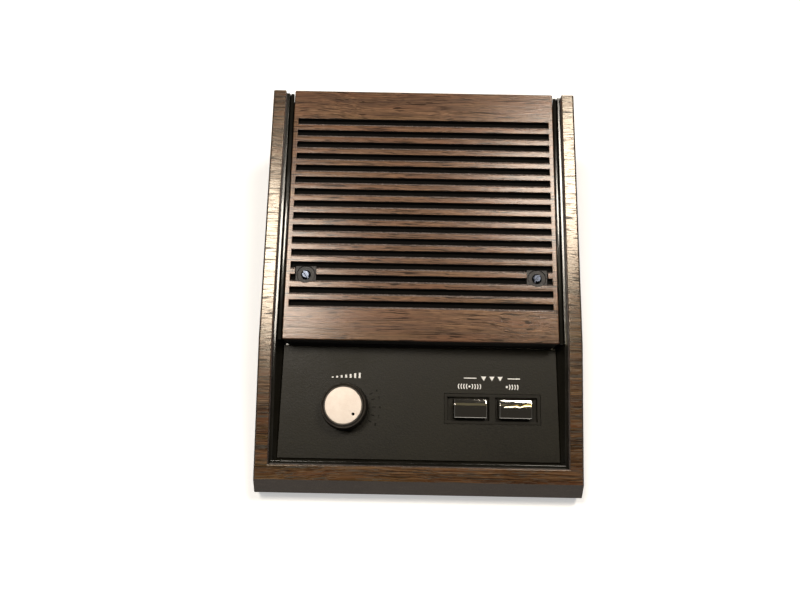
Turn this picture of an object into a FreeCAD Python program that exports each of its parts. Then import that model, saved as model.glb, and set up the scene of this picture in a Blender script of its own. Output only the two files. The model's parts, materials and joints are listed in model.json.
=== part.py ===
import FreeCAD, Part
import math
import os
from FreeCAD import Placement, Rotation, Vector

# Desk intercom: a wedge housing with an inlaid wood-grain frame, a speaker grille,
# a volume knob and two push bars. Lengths are in millimetres, angles in degrees.

# The face: s runs down the face from its upper end, d runs into the body
BODY_WIDTH = 209.6
FACE_TILT = 12.0
UPPER_FACE = 175.8
LOWER_FACE = 89.0
LOWER_BREAK = 6.3
CHIN_LENGTH = 10.6
CHIN_BREAK = 38.0
CHIN_HEIGHT = 12.0
HOUSING_WALL = 2.4
SLIDE_GAP = 0.3

# The inlaid frame
RAIL_WIDTH = 8.6
BOTTOM_RAIL = 9.3
TRIM_DEPTH = 4.1
TRIM_EDGE = 0.4
LIP_WIDTH = 0.6
LIP_DROP = 0.3
TAB_WIDTH = 2.4
TAB_LENGTH = 6.0
TAB_REACH = 3.4
TAB_GAP = 0.1
TAB_LOW = 17.8
TAB_INSET = 41.92
TAB_SINK = 0.8

# The black tray inside the frame
LEDGE_WIDTH = 2.0
FLANGE_THICKNESS = 1.6
SHELF_THICKNESS = 2.2
TRAY_DEPTH = 16.4
TRAY_WALL = 1.8
TRAY_FLOOR_END = 250.9
TRAY_LEAN = 3.6
TRAY_LEAN_LOW = 2.8
TRAY_SCREW_RADIUS = 1.5
TRAY_SCREW_LENGTH = 8.0
TRAY_HEAD_FLARE = 1.1
TRAY_BOSS_WALL = 1.4
TRAY_SCREW_TOP = 21.096
TRAY_SCREW_BREAK = 24.612
TRAY_SCREW_LOW = 48.95

# The grille
GRILLE_CHANNEL = 6.4
GRILLE_PLATE = 3.0
GRILLE_SKIRT = 2.0
GRILLE_CORNER = 1.0
SLOT_COUNT = 16
BORDER_WIDTH = 21.1
SLOT_PITCH = 8.57
SLOT_HEIGHT = 3.6
SLOT_BEVEL = 1.2
SLOT_MARGIN = 3.3
CLOTH_THICKNESS = 0.4
FIXING_INSET = 13.3
FIXING_BAR = 13
PAD_WIDTH = 13.8
PAD_DROP = 2.0
PAD_LAP = 0.6
PAD_RISE = 1.2
PAD_FALL = 0.8
FIXING_SHIFT = 0.35
COUNTERBORE_RADIUS = 5.9
COUNTERBORE_DEPTH = 0.8
FIXING_RADIUS = 1.75
FIXING_HEAD_RADIUS = 3.2
FIXING_HEAD_HEIGHT = 2.0
FIXING_LENGTH = 22.0
FIXING_TURN_LEFT = -56.0
FIXING_TURN_RIGHT = 53.0
FIXING_BOSS_WALL = 2.4
FIXING_BOSS_LENGTH = 8.0

# The control panel
PANEL_THICKNESS = 1.0
PANEL_TOP = 1.6
PANEL_GAP = 0.15
CONTROL_ROW = 217.4

# The push bars and their bezel
BUTTONS_INSET = 56.8
BUTTON_PITCH = 29.4
BUTTON_WIDTH = 21.3
BUTTON_DEPTH = 12.1
BUTTON_RISE = 4.8
BUTTON_CROWN = 0.9
BUTTON_CREST = 0.4
BUTTON_EDGE = 0.7
BUTTON_TRAVEL = 3.0
BUTTON_ROOF = 2.4
BEZEL_WIDTH = 63.3
BEZEL_DEPTH = 19.9
BEZEL_RIM = 2.2
BEZEL_SINK = 0.5
BEZEL_FLANGE = 1.2
BEZEL_WELL = 2.6
BEZEL_FLOOR = 1.6
DIVIDER_WIDTH = 4.0
STOP_FLANGE = 1.2
STOP_THICKNESS = 1.0
SPRING_RADIUS = 3.3
SPRING_WIRE = 0.3
SPRING_ROOM = 0.4
SPRING_TURNS = 4
SPRING_SIDES = 6
STEM_RADIUS = 2.0
STEM_ROOT = 0.5
STEM_REACH = 0.4
STEM_ROOM = 0.9
SWITCH_WIDTH = 15.0
SWITCH_DEPTH = 11.0
SWITCH_HEIGHT = 4.8
SWITCH_CORNER = 0.8
LUG_WIDTH = 1.2
LUG_SHEET = 0.6
LUG_TAIL = 1.0
BOARD_WIDTH = 76.0
BOARD_DEPTH = 22.0
BOARD_THICKNESS = 1.6
BOARD_SCREW_RADIUS = 1.25
BOARD_SCREW_LENGTH = 6.5
BOARD_HEAD_RADIUS = 2.2
BOARD_HEAD_HEIGHT = 1.2
BOARD_MARGIN = 0.6
STANDOFF_RADIUS = 2.8
STANDOFF_ROOT = 0.5
STANDOFF_SOLID = 2.0

# The volume control
KNOB_INSET = 56.0
KNOB_RADIUS = 15.4
KNOB_SHOULDER = 14.3
KNOB_TOP_RADIUS = 12.5
KNOB_HEIGHT = 13.2
KNOB_GAP = 0.4
KNOB_SHOULDER_DROP = 2.6
KNOB_ROUND = 0.5
KNOB_SKIRT = 0.8
KNOB_LIP = 0.25
KNOB_LIP_DROP = 0.1
KNOB_HOLLOW_RADIUS = 11.0
KNOB_HOLLOW = 5.0
CAP_RADIUS = 11.75
CAP_THICKNESS = 0.8
CAP_CROWN = 0.25
CAP_EDGE = 0.3
CAP_EDGE_DROP = 0.2
DOT_RADIUS = 0.95
DOT_OFFSET = 8.5
DOT_SINK = 0.3
DOT_ANGLE = 130.0
SHAFT_RADIUS = 3.0
SHAFT_FLAT = 0.9
SHAFT_GAP = 0.05
SHAFT_END_GAP = 0.4
SHAFT_TOP_DROP = 2.6
BUSHING_RADIUS = 4.76
BUSHING_LENGTH = 7.3
WASHER_RADIUS = 7.4
WASHER_THICKNESS = 0.8
NUT_ACROSS_FLATS = 12.7
NUT_THICKNESS = 2.2
POT_RADIUS = 8.5
POT_DEPTH = 8.5
POT_BEVEL = 0.8
POT_LUG_PITCH = 5.0
POT_LUG_LENGTH = 7.0
POT_LUG_WIDTH = 2.0
POT_LUG_ROOT = 1.2
POT_LUG_EYE = 0.5
POT_LUG_EYE_INSET = 1.4

# The loudspeaker
SPEAKER_S = 87.5
SPEAKER_RADIUS = 50.8
SOUND_HOLE_RADIUS = 45.0
SPEAKER_HOLE_SPACING = 79.2
EAR_RADIUS = 5.5
SPEAKER_BOSS_WALL = 2.0
SPEAKER_BOSS_LENGTH = 9.0
SPEAKER_BOSS_ROOF = 1.5
SPACER_WALL = 1.6
GASKET_THICKNESS = 1.0
BASKET_SHEET = 1.0
BASKET_DEPTH = 20.0
BASKET_SHOULDER = 5.0
BASKET_FLARE = 8.0
BASKET_EYE = 6.0
BASKET_NECK_INSET = 4.0
BASKET_SEAT_ROOM = 3.0
BASKET_WINDOWS = 4
WINDOW_HALF = 11.0
WINDOW_START = 12.0
WINDOW_RIM = 2.0
WINDOW_TOP = 7.0
WINDOW_FOOT = 3.0
CONE_RADIUS = 41.0
CONE_DEPTH = 13.0
CONE_PAPER = 0.5
CONE_SEAT = 2.2
SURROUND_WIDTH = 3.5
SURROUND_LAP = 0.2
SURROUND_RISE = 1.5
SURROUND_SHEET = 0.5
DUST_CAP_RADIUS = 13.0
DUST_CAP_RISE = 3.0
COIL_RADIUS = 9.9
COIL_WALL = 0.5
COIL_GAP = 0.4
COIL_LAP = 0.5
COIL_TAIL = 2.5
SPIDER_FOLDS = 4
SPIDER_LIFT = 0.9
SPIDER_CLOTH = 0.4
SPIDER_LAP = 7.5
MAGNET_RADIUS = 22.0
MAGNET_THICKNESS = 9.0
MAGNET_BORE_GAP = 3.0
PLATE_INSET = 1.0
PLATE_THICKNESS = 3.0
SPEAKER_SCREW_RADIUS = 1.5
SPEAKER_SCREW_LENGTH = 8.0
SPEAKER_HEAD_RADIUS = 2.9
SPEAKER_HEAD_HEIGHT = 1.7

# Cable entry and terminals at the rear wall
INLET_X = 62.0
INLET_HEIGHT = 18.0
INLET_RADIUS = 2.75
GROMMET_RADIUS = 4.6
GROMMET_FLANGE_RADIUS = 6.6
GROMMET_FLANGE = 1.6
GROMMET_BEVEL = 0.6
STRIP_X = 20.0
STRIP_HEIGHT = 24.0
STRIP_LENGTH = 52.0
STRIP_WIDTH = 15.0
STRIP_THICKNESS = 6.0
STRIP_STANDOFF = 5.0
TERMINAL_COUNT = 5
TERMINAL_SCREW_RADIUS = 1.5
TERMINAL_SCREW_LENGTH = 3.0
TERMINAL_HEAD_RADIUS = 2.5
TERMINAL_HEAD_HEIGHT = 1.6
TERMINAL_SLOT_WIDTH = 5.8
TERMINAL_SLOT_DEPTH = 2.0
STRIP_SCREW_RADIUS = 1.5
STRIP_SCREW_SHORT = 0.5
STRIP_HEAD_RADIUS = 2.9
STRIP_HEAD_HEIGHT = 1.7
STRIP_HOLE_INSET = 4.0
STRIP_BOSS_WALL = 2.5

# The base
FOOT_HEIGHT = 3.5
FOOT_RADIUS = 7.0
FOOT_TAPER = 1.2
FOOT_PEG_RADIUS = 2.5
FOOT_BARB = 0.8
FOOT_BARB_HEIGHT = 2.2
FOOT_INSET_X = 20.0
FOOT_INSET_Y = 20.0
BASE_THICKNESS = 2.0
BASE_GAP = 0.3
POST_RADIUS = 4.5
POST_SINK = 0.5
POST_TOP_GAP = 3.0
POST_INSET_FRONT = 34.0
POST_INSET_REAR = 24.0
BASE_SCREW_RADIUS = 1.75
BASE_SCREW_LENGTH = 8.0
BASE_HEAD_RADIUS = 3.3
BASE_HEAD_HEIGHT = 1.8
BASE_SCREW_TURN = 15.0

# Cuts right through a piece run this far
THROUGH = 60.0

# Places worked out from the sizes above
TILT = math.radians(FACE_TILT)
LOW = math.radians(LOWER_BREAK)
CHIN = math.radians(CHIN_BREAK)
HALF = BODY_WIDTH / 2
FACE_LENGTH = UPPER_FACE + LOWER_FACE
EDGE_S = UPPER_FACE + LOWER_FACE * math.cos(LOW)
EDGE_D = LOWER_FACE * math.sin(LOW)
CHIN_S = EDGE_S + CHIN_LENGTH * math.cos(CHIN)
CHIN_D = EDGE_D + CHIN_LENGTH * math.sin(CHIN)
TOP_Z = CHIN_HEIGHT + CHIN_S * math.sin(TILT) + CHIN_D * math.cos(TILT)
REAR_D = (TOP_Z - FOOT_HEIGHT) / math.cos(TILT)
FRONT_Y = -CHIN_S * math.cos(TILT) + CHIN_D * math.sin(TILT)
REAR_Y = REAR_D * math.sin(TILT)
TOP_Y = -(FRONT_Y + REAR_Y) / 2
INNER_HALF = HALF - HOUSING_WALL
RAIL_INNER = HALF - RAIL_WIDTH
RIM_HALF = RAIL_INNER - LEDGE_WIDTH
GRILLE_HALF = RAIL_INNER - GRILLE_CHANNEL
FLOOR_HALF = RIM_HALF - TRAY_LEAN
FLOOR_HALF_LOW = RIM_HALF - TRAY_LEAN_LOW
FLANGE_BOTTOM = TRIM_DEPTH + FLANGE_THICKNESS
SHELF_BOTTOM = FLANGE_BOTTOM + SHELF_THICKNESS
TRAY_BOTTOM = TRAY_DEPTH + TRAY_WALL
LEDGE_END = FACE_LENGTH - BOTTOM_RAIL - LEDGE_WIDTH
PANEL_D = TRAY_DEPTH - PANEL_THICKNESS
FLANGE_X = (RAIL_INNER + INNER_HALF) / 2
KNOB_X = KNOB_INSET - HALF
BUTTONS_X = HALF - BUTTONS_INSET
FIXING_X = GRILLE_HALF - FIXING_INSET
BUTTON_X = (BUTTONS_X - BUTTON_PITCH / 2, BUTTONS_X + BUTTON_PITCH / 2)
BEZEL_RIM_D = PANEL_D + BEZEL_SINK
BEZEL_FLOOR_D = BEZEL_RIM_D + BEZEL_WELL
BEZEL_BOTTOM = BEZEL_FLOOR_D + BEZEL_FLOOR
STOP_D = BEZEL_BOTTOM
SWITCH_D = STOP_D + STOP_THICKNESS + BUTTON_TRAVEL + SLIDE_GAP
BOARD_D = SWITCH_D + SWITCH_HEIGHT
SPEAKER_D = TRAY_BOTTOM + GASKET_THICKNESS
STANDOFF_X = BOARD_WIDTH / 2 - STANDOFF_RADIUS - BOARD_MARGIN
STANDOFF_S = BOARD_DEPTH / 2 - STANDOFF_RADIUS - BOARD_MARGIN


def at(x, s, d):
    return Vector(x, -s, -d)


def stand(shape):
    tilt = Rotation(Vector(1, 0, 0), FACE_TILT)
    shape = shape.copy()
    shape.Placement = Placement(Vector(0, TOP_Y, TOP_Z), tilt).multiply(shape.Placement)
    return shape


def height_at(s, d):
    return TOP_Z - s * math.sin(TILT) - d * math.cos(TILT)


def depth_for(s, height):
    return (TOP_Z - height - s * math.sin(TILT)) / math.cos(TILT)


def block(x0, x1, s0, s1, d0, d1):
    return Part.makeBox(x1 - x0, s1 - s0, d1 - d0, at(x0, s1, d1))


def centred(x, s, width, depth, d0, d1):
    return block(x - width / 2, x + width / 2, s - depth / 2, s + depth / 2, d0, d1)


def disc(x, s, radius, d0, d1):
    return Part.makeCylinder(radius, d1 - d0, at(x, s, d1))


def ring(x, s, inner, outer, d0, d1):
    return disc(x, s, outer, d0, d1).cut(disc(x, s, inner, d0 - 1, d1 + 1))


def turned(profile, x, s):
    points = [Vector(x + r, -s, -d) for r, d in profile]
    face = Part.Face(Part.makePolygon(points + points[:1]))
    return face.revolve(at(x, s, 0), Vector(0, 0, 1), 360)


def across(outline, half):
    points = [Vector(-half, -s, -d) for s, d in outline]
    face = Part.Face(Part.makePolygon(points + points[:1]))
    return face.extrude(Vector(2 * half, 0, 0))


def along(outline, s0, s1):
    points = [Vector(x, -s0, -d) for x, d in outline]
    face = Part.Face(Part.makePolygon(points + points[:1]))
    return face.extrude(Vector(0, s0 - s1, 0))


def group(shapes):
    return Part.makeCompound(shapes)


def face_point(t, d):
    if t <= UPPER_FACE:
        return (t, d)
    run = t - UPPER_FACE
    return (UPPER_FACE + run * math.cos(LOW) - d * math.sin(LOW), run * math.sin(LOW) + d * math.cos(LOW))


def break_point(d):
    return (UPPER_FACE - d * math.tan(LOW / 2), d)


def band(t0, t1, d0, d1, half):
    outline = [face_point(t0, d0), break_point(d0), face_point(t1, d0)]
    outline += [face_point(t1, d1), break_point(d1), face_point(t0, d1)]
    return across(outline, half)


def on_face(shape, x, t):
    turn = LOWER_BREAK if t > UPPER_FACE else 0.0
    s, d = face_point(t, 0)
    shape = shape.copy()
    shape.Placement = Placement(at(x, s, d), Rotation(Vector(1, 0, 0), turn)).multiply(shape.Placement)
    return shape


def slotted(shape, x, s, top, radius, width, depth, angle):
    slot = block(-radius - 1, radius + 1, -width / 2, width / 2, -1, depth)
    slot.rotate(Vector(0, 0, 0), Vector(0, 0, 1), angle)
    slot.translate(at(x, s, top))
    return shape.cut(slot)


def plain_screw(x, s, seat, head_radius, head_height, radius, length):
    head = disc(x, s, head_radius, seat - head_height, seat)
    return head.fuse(disc(x, s, radius, seat - head_height / 2, seat + length))


def pan_screw(x, s, seat, head_radius, head_height, radius, length, angle):
    top = seat - head_height
    profile = [(0, top), (head_radius * 0.7, top), (head_radius, seat - head_height * 0.4)]
    profile += [(head_radius, seat), (radius, seat), (radius, seat + length), (0, seat + length)]
    body = turned(profile, x, s)
    return slotted(body, x, s, top, head_radius, head_radius * 0.3, head_height * 0.5, angle)


def flipped(shape, s, d):
    shape = shape.copy()
    shape.rotate(at(0, s, d), Vector(1, 0, 0), 180)
    return shape


# The housing

def outer_outline():
    front_d = depth_for(CHIN_S, FOOT_HEIGHT)
    return [(0, 0), (UPPER_FACE, 0), (EDGE_S, EDGE_D), (CHIN_S, CHIN_D), (CHIN_S, front_d), (0, REAR_D)]


def inner_block():
    drop = 4 * HOUSING_WALL
    outline = outer_outline()
    outline[-2] = (outline[-2][0], outline[-2][1] + drop)
    outline[-1] = (outline[-1][0], outline[-1][1] + drop)
    points = [Vector(-INNER_HALF, -s, -d) for s, d in outline]
    face = Part.Face(Part.makePolygon(points + points[:1]))
    inner = face.makeOffset2D(-HOUSING_WALL, join=2)
    return inner.extrude(Vector(2 * INNER_HALF, 0, 0))


def post_places():
    x = INNER_HALF - POST_RADIUS + POST_SINK
    front = FRONT_Y + TOP_Y + POST_INSET_FRONT
    rear = REAR_Y + TOP_Y - POST_INSET_REAR
    return [(side * x, y) for side in (-1, 1) for y in (front, rear)]


def tray_screw_places():
    stations = (TRAY_SCREW_TOP, UPPER_FACE - TRAY_SCREW_BREAK, UPPER_FACE + TRAY_SCREW_LOW)
    return [(side * FLANGE_X, t) for side in (-1, 1) for t in stations]


def tab_places():
    stations = (UPPER_FACE / 2, UPPER_FACE + TAB_LOW)
    places = [(side * FLANGE_X, t) for side in (-1, 1) for t in stations]
    low = FACE_LENGTH - BOTTOM_RAIL / 2 - TAB_SINK
    return places + [(side * (HALF - TAB_INSET), low) for side in (-1, 1)]


def frame_tab(gap, d0, d1):
    return centred(0, 0, TAB_WIDTH + 2 * gap, TAB_LENGTH + 2 * gap, d0, d1)


def make_housing():
    body = across(outer_outline(), HALF)
    roof = band(-5, FACE_LENGTH, -5, SHELF_BOTTOM, HALF)
    body = body.cut(inner_block().cut(roof))
    body = body.cut(band(-5, FACE_LENGTH, -5, TRIM_DEPTH, HALF - LIP_WIDTH))
    body = body.cut(band(-5, FACE_LENGTH, -5, LIP_DROP, HALF + 1))
    body = body.cut(band(-5, FACE_LENGTH - HOUSING_WALL, TRIM_DEPTH - 1, FLANGE_BOTTOM, INNER_HALF))
    opening_end = LEDGE_END + TRAY_WALL + 1
    opening_half = RIM_HALF + TRAY_WALL + SLIDE_GAP
    body = body.cut(band(-5, opening_end, FLANGE_BOTTOM - 1, SHELF_BOTTOM + 1, opening_half))
    floor_half = FLOOR_HALF + TRAY_WALL + SLIDE_GAP
    well = [(-opening_half, TRIM_DEPTH), (opening_half, TRIM_DEPTH), (opening_half, FLANGE_BOTTOM)]
    well += [(floor_half, TRAY_BOTTOM), (-floor_half, TRAY_BOTTOM), (-opening_half, FLANGE_BOTTOM)]
    body = body.cut(along(well, -1, HOUSING_WALL + 1))
    bosses = []
    holes = []
    boss_end = FLANGE_BOTTOM + TRAY_SCREW_LENGTH
    for x, t in tray_screw_places():
        boss = disc(0, 0, TRAY_SCREW_RADIUS + TRAY_BOSS_WALL, FLANGE_BOTTOM, boss_end)
        hole = disc(0, 0, TRAY_SCREW_RADIUS, FLANGE_BOTTOM - 1, boss_end + 1)
        bosses.append(on_face(boss, x, t))
        holes.append(on_face(hole, x, t))
    for x, t in tab_places():
        holes.append(on_face(frame_tab(TAB_GAP, FLANGE_BOTTOM - 1, TRIM_DEPTH + TAB_REACH), x, t))
    inlet = disc(0, 0, GROMMET_RADIUS, -1, HOUSING_WALL + 1)
    holes.append(on_rear(inlet, INLET_X, INLET_HEIGHT))
    for x in strip_screw_xs():
        boss = disc(0, 0, STRIP_SCREW_RADIUS + STRIP_BOSS_WALL, HOUSING_WALL / 2, strip_front())
        bosses.append(on_rear(boss, x, STRIP_HEIGHT))
        hole = disc(0, 0, STRIP_SCREW_RADIUS, HOUSING_WALL, strip_front() + 1)
        holes.append(on_rear(hole, x, STRIP_HEIGHT))
    body = stand(body.fuse(bosses).cut(holes))
    base_top = FOOT_HEIGHT + BASE_THICKNESS
    posts = []
    sockets = []
    for x, y in post_places():
        s = (TOP_Y - y) / math.cos(TILT)
        top = height_at(s, TRAY_BOTTOM) - POST_RADIUS * math.tan(TILT) - POST_TOP_GAP
        posts.append(Part.makeCylinder(POST_RADIUS, top - base_top, Vector(x, y, base_top)))
        sockets.append(Part.makeCylinder(BASE_SCREW_RADIUS, BASE_SCREW_LENGTH, Vector(x, y, base_top - 1)))
    return body.fuse(posts).cut(sockets).removeSplitter()


# The inlaid frame and the tray

def make_trim():
    frame = band(0, FACE_LENGTH, 0, TRIM_DEPTH, HALF - LIP_WIDTH)
    frame = frame.cut(band(-5, FACE_LENGTH - BOTTOM_RAIL, -5, TRIM_DEPTH + 5, RAIL_INNER))
    edges = [edge for edge in frame.Edges if on_face_edge(edge)]
    frame = frame.makeChamfer(TRIM_EDGE, edges)
    tab = frame_tab(0.0, TRIM_DEPTH / 2, TRIM_DEPTH + TAB_REACH)
    tabs = [on_face(tab, x, t) for x, t in tab_places()]
    return frame.fuse(tabs).removeSplitter()


def on_face_edge(edge):
    ends = [vertex.Point for vertex in edge.Vertexes]
    middle = (ends[0] + ends[1]) * 0.5
    run = middle.y * -1
    surface = 0.0 if run <= UPPER_FACE else (run - UPPER_FACE) * math.tan(LOW)
    level = abs(middle.z + surface) < 0.01
    lengthwise = abs(ends[0].x - ends[1].x) < 0.01 and abs(ends[0].y - ends[1].y) > 1
    upper_edge = abs(ends[0].x - ends[1].x) > 1 and 1 < run < EDGE_S - 1 and abs(run - UPPER_FACE) > 1
    return level and (lengthwise or upper_edge)


def tray_sections(grow, rim_depth, reach):
    floor_d = TRAY_DEPTH + grow
    rim_s, rim_d = face_point(LEDGE_END, rim_depth)
    sections = []
    for s in (0.0, UPPER_FACE):
        sections.append([(FLOOR_HALF + grow, s, floor_d), (RIM_HALF + grow, s, rim_depth)])
    low = [(FLOOR_HALF_LOW + grow, TRAY_FLOOR_END + grow, floor_d), (RIM_HALF + grow, rim_s + grow, rim_d)]
    sections.append(low)
    wires = []
    for floor, rim in sections:
        top = tuple(a + reach * (b - a) for a, b in zip(floor, rim))
        corners = [at(-floor[0], *floor[1:]), at(floor[0], *floor[1:])]
        corners += [at(top[0], *top[1:]), at(-top[0], *top[1:])]
        wires.append(Part.makePolygon(corners + corners[:1]))
    return wires


def well_solid(grow, rim_depth, reach):
    wires = tray_sections(grow, rim_depth, reach)
    upper = Part.makeLoft(wires[:2], True, True)
    lower = Part.makeLoft(wires[1:], True, True)
    return upper.fuse(lower)


def make_tray():
    flange = band(0, FACE_LENGTH - HOUSING_WALL, TRIM_DEPTH, FLANGE_BOTTOM, INNER_HALF - BASE_GAP)
    shell = flange.fuse(well_solid(TRAY_WALL, TRIM_DEPTH + FLANGE_THICKNESS / 2, 1.0))
    solids = []
    cuts = [well_solid(0.0, TRIM_DEPTH, 1.3)]
    cuts.append(block(-HALF, HALF, -THROUGH, 0, -THROUGH, THROUGH))
    cuts.append(disc(0, SPEAKER_S, SOUND_HOLE_RADIUS, 0, THROUGH))
    cuts.append(disc(KNOB_X, CONTROL_ROW, BUSHING_RADIUS, 0, THROUGH))
    hole_width = BEZEL_WIDTH - 2 * BEZEL_FLANGE + SLIDE_GAP
    hole_depth = BEZEL_DEPTH - 2 * BEZEL_FLANGE + SLIDE_GAP
    cuts.append(centred(BUTTONS_X, CONTROL_ROW, hole_width, hole_depth, 0, THROUGH))
    for x in (-FIXING_X, FIXING_X):
        solids.append(disc(x, fixing_s(), FIXING_RADIUS + FIXING_BOSS_WALL,
                           TRAY_DEPTH, TRAY_BOTTOM + FIXING_BOSS_LENGTH))
        cuts.append(disc(x, fixing_s(), FIXING_RADIUS, 0, THROUGH))
    for x, s in speaker_screw_places():
        top = TRAY_BOTTOM - SPEAKER_BOSS_LENGTH
        solids.append(disc(x, s, SPEAKER_SCREW_RADIUS + SPEAKER_BOSS_WALL, top, TRAY_BOTTOM))
        cuts.append(disc(x, s, SPEAKER_SCREW_RADIUS, top + SPEAKER_BOSS_ROOF, THROUGH))
    for x, s in standoff_places():
        solids.append(disc(x, s, STANDOFF_RADIUS, TRAY_DEPTH + STANDOFF_ROOT, BOARD_D))
        cuts.append(disc(x, s, BOARD_SCREW_RADIUS, TRAY_BOTTOM + STANDOFF_SOLID, BOARD_D + 1))
    for x, t in tray_screw_places():
        cuts.append(on_face(disc(0, 0, TRAY_SCREW_RADIUS, 0, SHELF_BOTTOM), x, t))
        cuts.append(on_face(screw_cone(), x, t))
    for x, t in tab_places():
        cuts.append(on_face(frame_tab(TAB_GAP, 0, SHELF_BOTTOM), x, t))
    return shell.cut(cuts[:2]).fuse(solids).cut(cuts[2:]).removeSplitter()


def screw_cone():
    head = TRAY_SCREW_RADIUS + TRAY_HEAD_FLARE
    return Part.makeCone(TRAY_SCREW_RADIUS, head, TRAY_HEAD_FLARE, at(0, 0, TRIM_DEPTH + TRAY_HEAD_FLARE))


def make_tray_screws():
    screws = []
    for x, t in tray_screw_places():
        shank = disc(0, 0, TRAY_SCREW_RADIUS, TRIM_DEPTH + TRAY_HEAD_FLARE / 2, TRIM_DEPTH + TRAY_SCREW_LENGTH)
        screw = shank.fuse(screw_cone())
        screws.append(on_face(screw, x, t))
    return group(screws)


# The grille, its cloth and its two screws

def slot_start(index):
    return BORDER_WIDTH + index * SLOT_PITCH


def fixing_s():
    return slot_start(FIXING_BAR) - FIXING_SHIFT


def pad_limits():
    top = slot_start(FIXING_BAR - 1) + SLOT_HEIGHT - PAD_RISE
    return (top, slot_start(FIXING_BAR) + SLOT_HEIGHT + PAD_FALL)


def slot_cut(index):
    start = slot_start(index)
    end = start + SLOT_HEIGHT
    outline = [(start, -1), (end + SLOT_BEVEL + 1, -1), (end, SLOT_BEVEL), (end, GRILLE_PLATE + 1)]
    outline += [(start, GRILLE_PLATE + 1)]
    return across(outline, GRILLE_HALF - SLOT_MARGIN)


def make_grille():
    half = GRILLE_HALF
    plate = block(-half, half, 0, UPPER_FACE, 0, TRAY_DEPTH)
    uprights = [edge for edge in plate.Edges if abs(edge.Vertexes[0].Z - edge.Vertexes[1].Z) > 1]
    plate = plate.makeFillet(GRILLE_CORNER, uprights)
    rim = [edge for edge in plate.Edges if edge.BoundBox.ZMin > -0.01]
    plate = plate.makeChamfer(TRIM_EDGE, rim)
    reach = half - GRILLE_SKIRT
    hollow = block(-reach, reach, GRILLE_SKIRT, UPPER_FACE - GRILLE_SKIRT, GRILLE_PLATE, TRAY_DEPTH + 1)
    plate = plate.cut(hollow)
    cuts = [slot_cut(index) for index in range(SLOT_COUNT)]
    pad_top, pad_end = pad_limits()
    pads = []
    bores = []
    for x in (-FIXING_X, FIXING_X):
        near = x - PAD_WIDTH / 2
        far = x + PAD_WIDTH / 2
        cuts.append(block(near, far, slot_start(FIXING_BAR - 1), pad_end, -1, GRILLE_PLATE + 1))
        pads.append(block(near, far, pad_top, pad_end + PAD_LAP, PAD_DROP, TRAY_DEPTH))
        bores.append(disc(x, fixing_s(), COUNTERBORE_RADIUS, 0, PAD_DROP + COUNTERBORE_DEPTH))
        bores.append(disc(x, fixing_s(), FIXING_RADIUS, 0, TRAY_DEPTH + 1))
    return plate.cut(cuts).fuse(pads).cut(bores).removeSplitter()


def make_cloth():
    half = GRILLE_HALF - GRILLE_SKIRT - SLIDE_GAP
    inside = GRILLE_SKIRT + SLIDE_GAP
    sheet = block(-half, half, inside, UPPER_FACE - inside, GRILLE_PLATE, GRILLE_PLATE + CLOTH_THICKNESS)
    pad_top, pad_end = pad_limits()
    holes = []
    for x in (-FIXING_X, FIXING_X):
        reach = PAD_WIDTH / 2 + SLIDE_GAP
        end = pad_end + PAD_LAP + SLIDE_GAP
        holes.append(block(x - reach, x + reach, pad_top - SLIDE_GAP, end, 0, TRAY_DEPTH))
    return sheet.cut(holes)


def make_front_screws():
    seat = PAD_DROP + COUNTERBORE_DEPTH
    screws = []
    for x, angle in ((-FIXING_X, FIXING_TURN_LEFT), (FIXING_X, FIXING_TURN_RIGHT)):
        screws.append(pan_screw(x, fixing_s(), seat, FIXING_HEAD_RADIUS, FIXING_HEAD_HEIGHT,
                                FIXING_RADIUS, FIXING_LENGTH, angle))
    return group(screws)


# The control panel, bezel, push bars and switches

def panel_half(s):
    share = (s - UPPER_FACE) / (TRAY_FLOOR_END - UPPER_FACE)
    return FLOOR_HALF + (FLOOR_HALF_LOW - FLOOR_HALF) * share - PANEL_GAP


def make_panel():
    top = UPPER_FACE + PANEL_TOP
    end = TRAY_FLOOR_END - PANEL_GAP
    outline = [(-panel_half(top), top), (panel_half(top), top)]
    outline += [(panel_half(end), end), (-panel_half(end), end)]
    points = [at(x, s, TRAY_DEPTH) for x, s in outline]
    plate = Part.Face(Part.makePolygon(points + points[:1])).extrude(Vector(0, 0, PANEL_THICKNESS))
    plate = plate.cut(disc(KNOB_X, CONTROL_ROW, BUSHING_RADIUS, 0, THROUGH))
    return plate.cut(centred(BUTTONS_X, CONTROL_ROW, BEZEL_WIDTH, BEZEL_DEPTH, 0, THROUGH))


def make_bezel():
    width = BEZEL_WIDTH - 2 * PANEL_GAP
    depth = BEZEL_DEPTH - 2 * PANEL_GAP
    body_width = BEZEL_WIDTH - 2 * BEZEL_FLANGE
    body_depth = BEZEL_DEPTH - 2 * BEZEL_FLANGE
    bezel = centred(BUTTONS_X, CONTROL_ROW, width, depth, BEZEL_RIM_D, TRAY_DEPTH)
    bezel = bezel.fuse(centred(BUTTONS_X, CONTROL_ROW, body_width, body_depth, BEZEL_RIM_D, BEZEL_BOTTOM))
    well_width = BEZEL_WIDTH - 2 * BEZEL_RIM
    well_depth = BEZEL_DEPTH - 2 * BEZEL_RIM
    pocket = centred(BUTTONS_X, CONTROL_ROW, well_width, well_depth, BEZEL_RIM_D - 1, BEZEL_FLOOR_D)
    divider = centred(BUTTONS_X, CONTROL_ROW, DIVIDER_WIDTH, well_depth, BEZEL_RIM_D, BEZEL_FLOOR_D)
    bezel = bezel.cut(pocket).fuse(divider)
    for x in BUTTON_X:
        opening = centred(x, CONTROL_ROW, BUTTON_WIDTH + 2 * SLIDE_GAP, BUTTON_DEPTH + 2 * SLIDE_GAP,
                          0, THROUGH)
        bezel = bezel.cut(opening)
    return bezel.removeSplitter()


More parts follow.
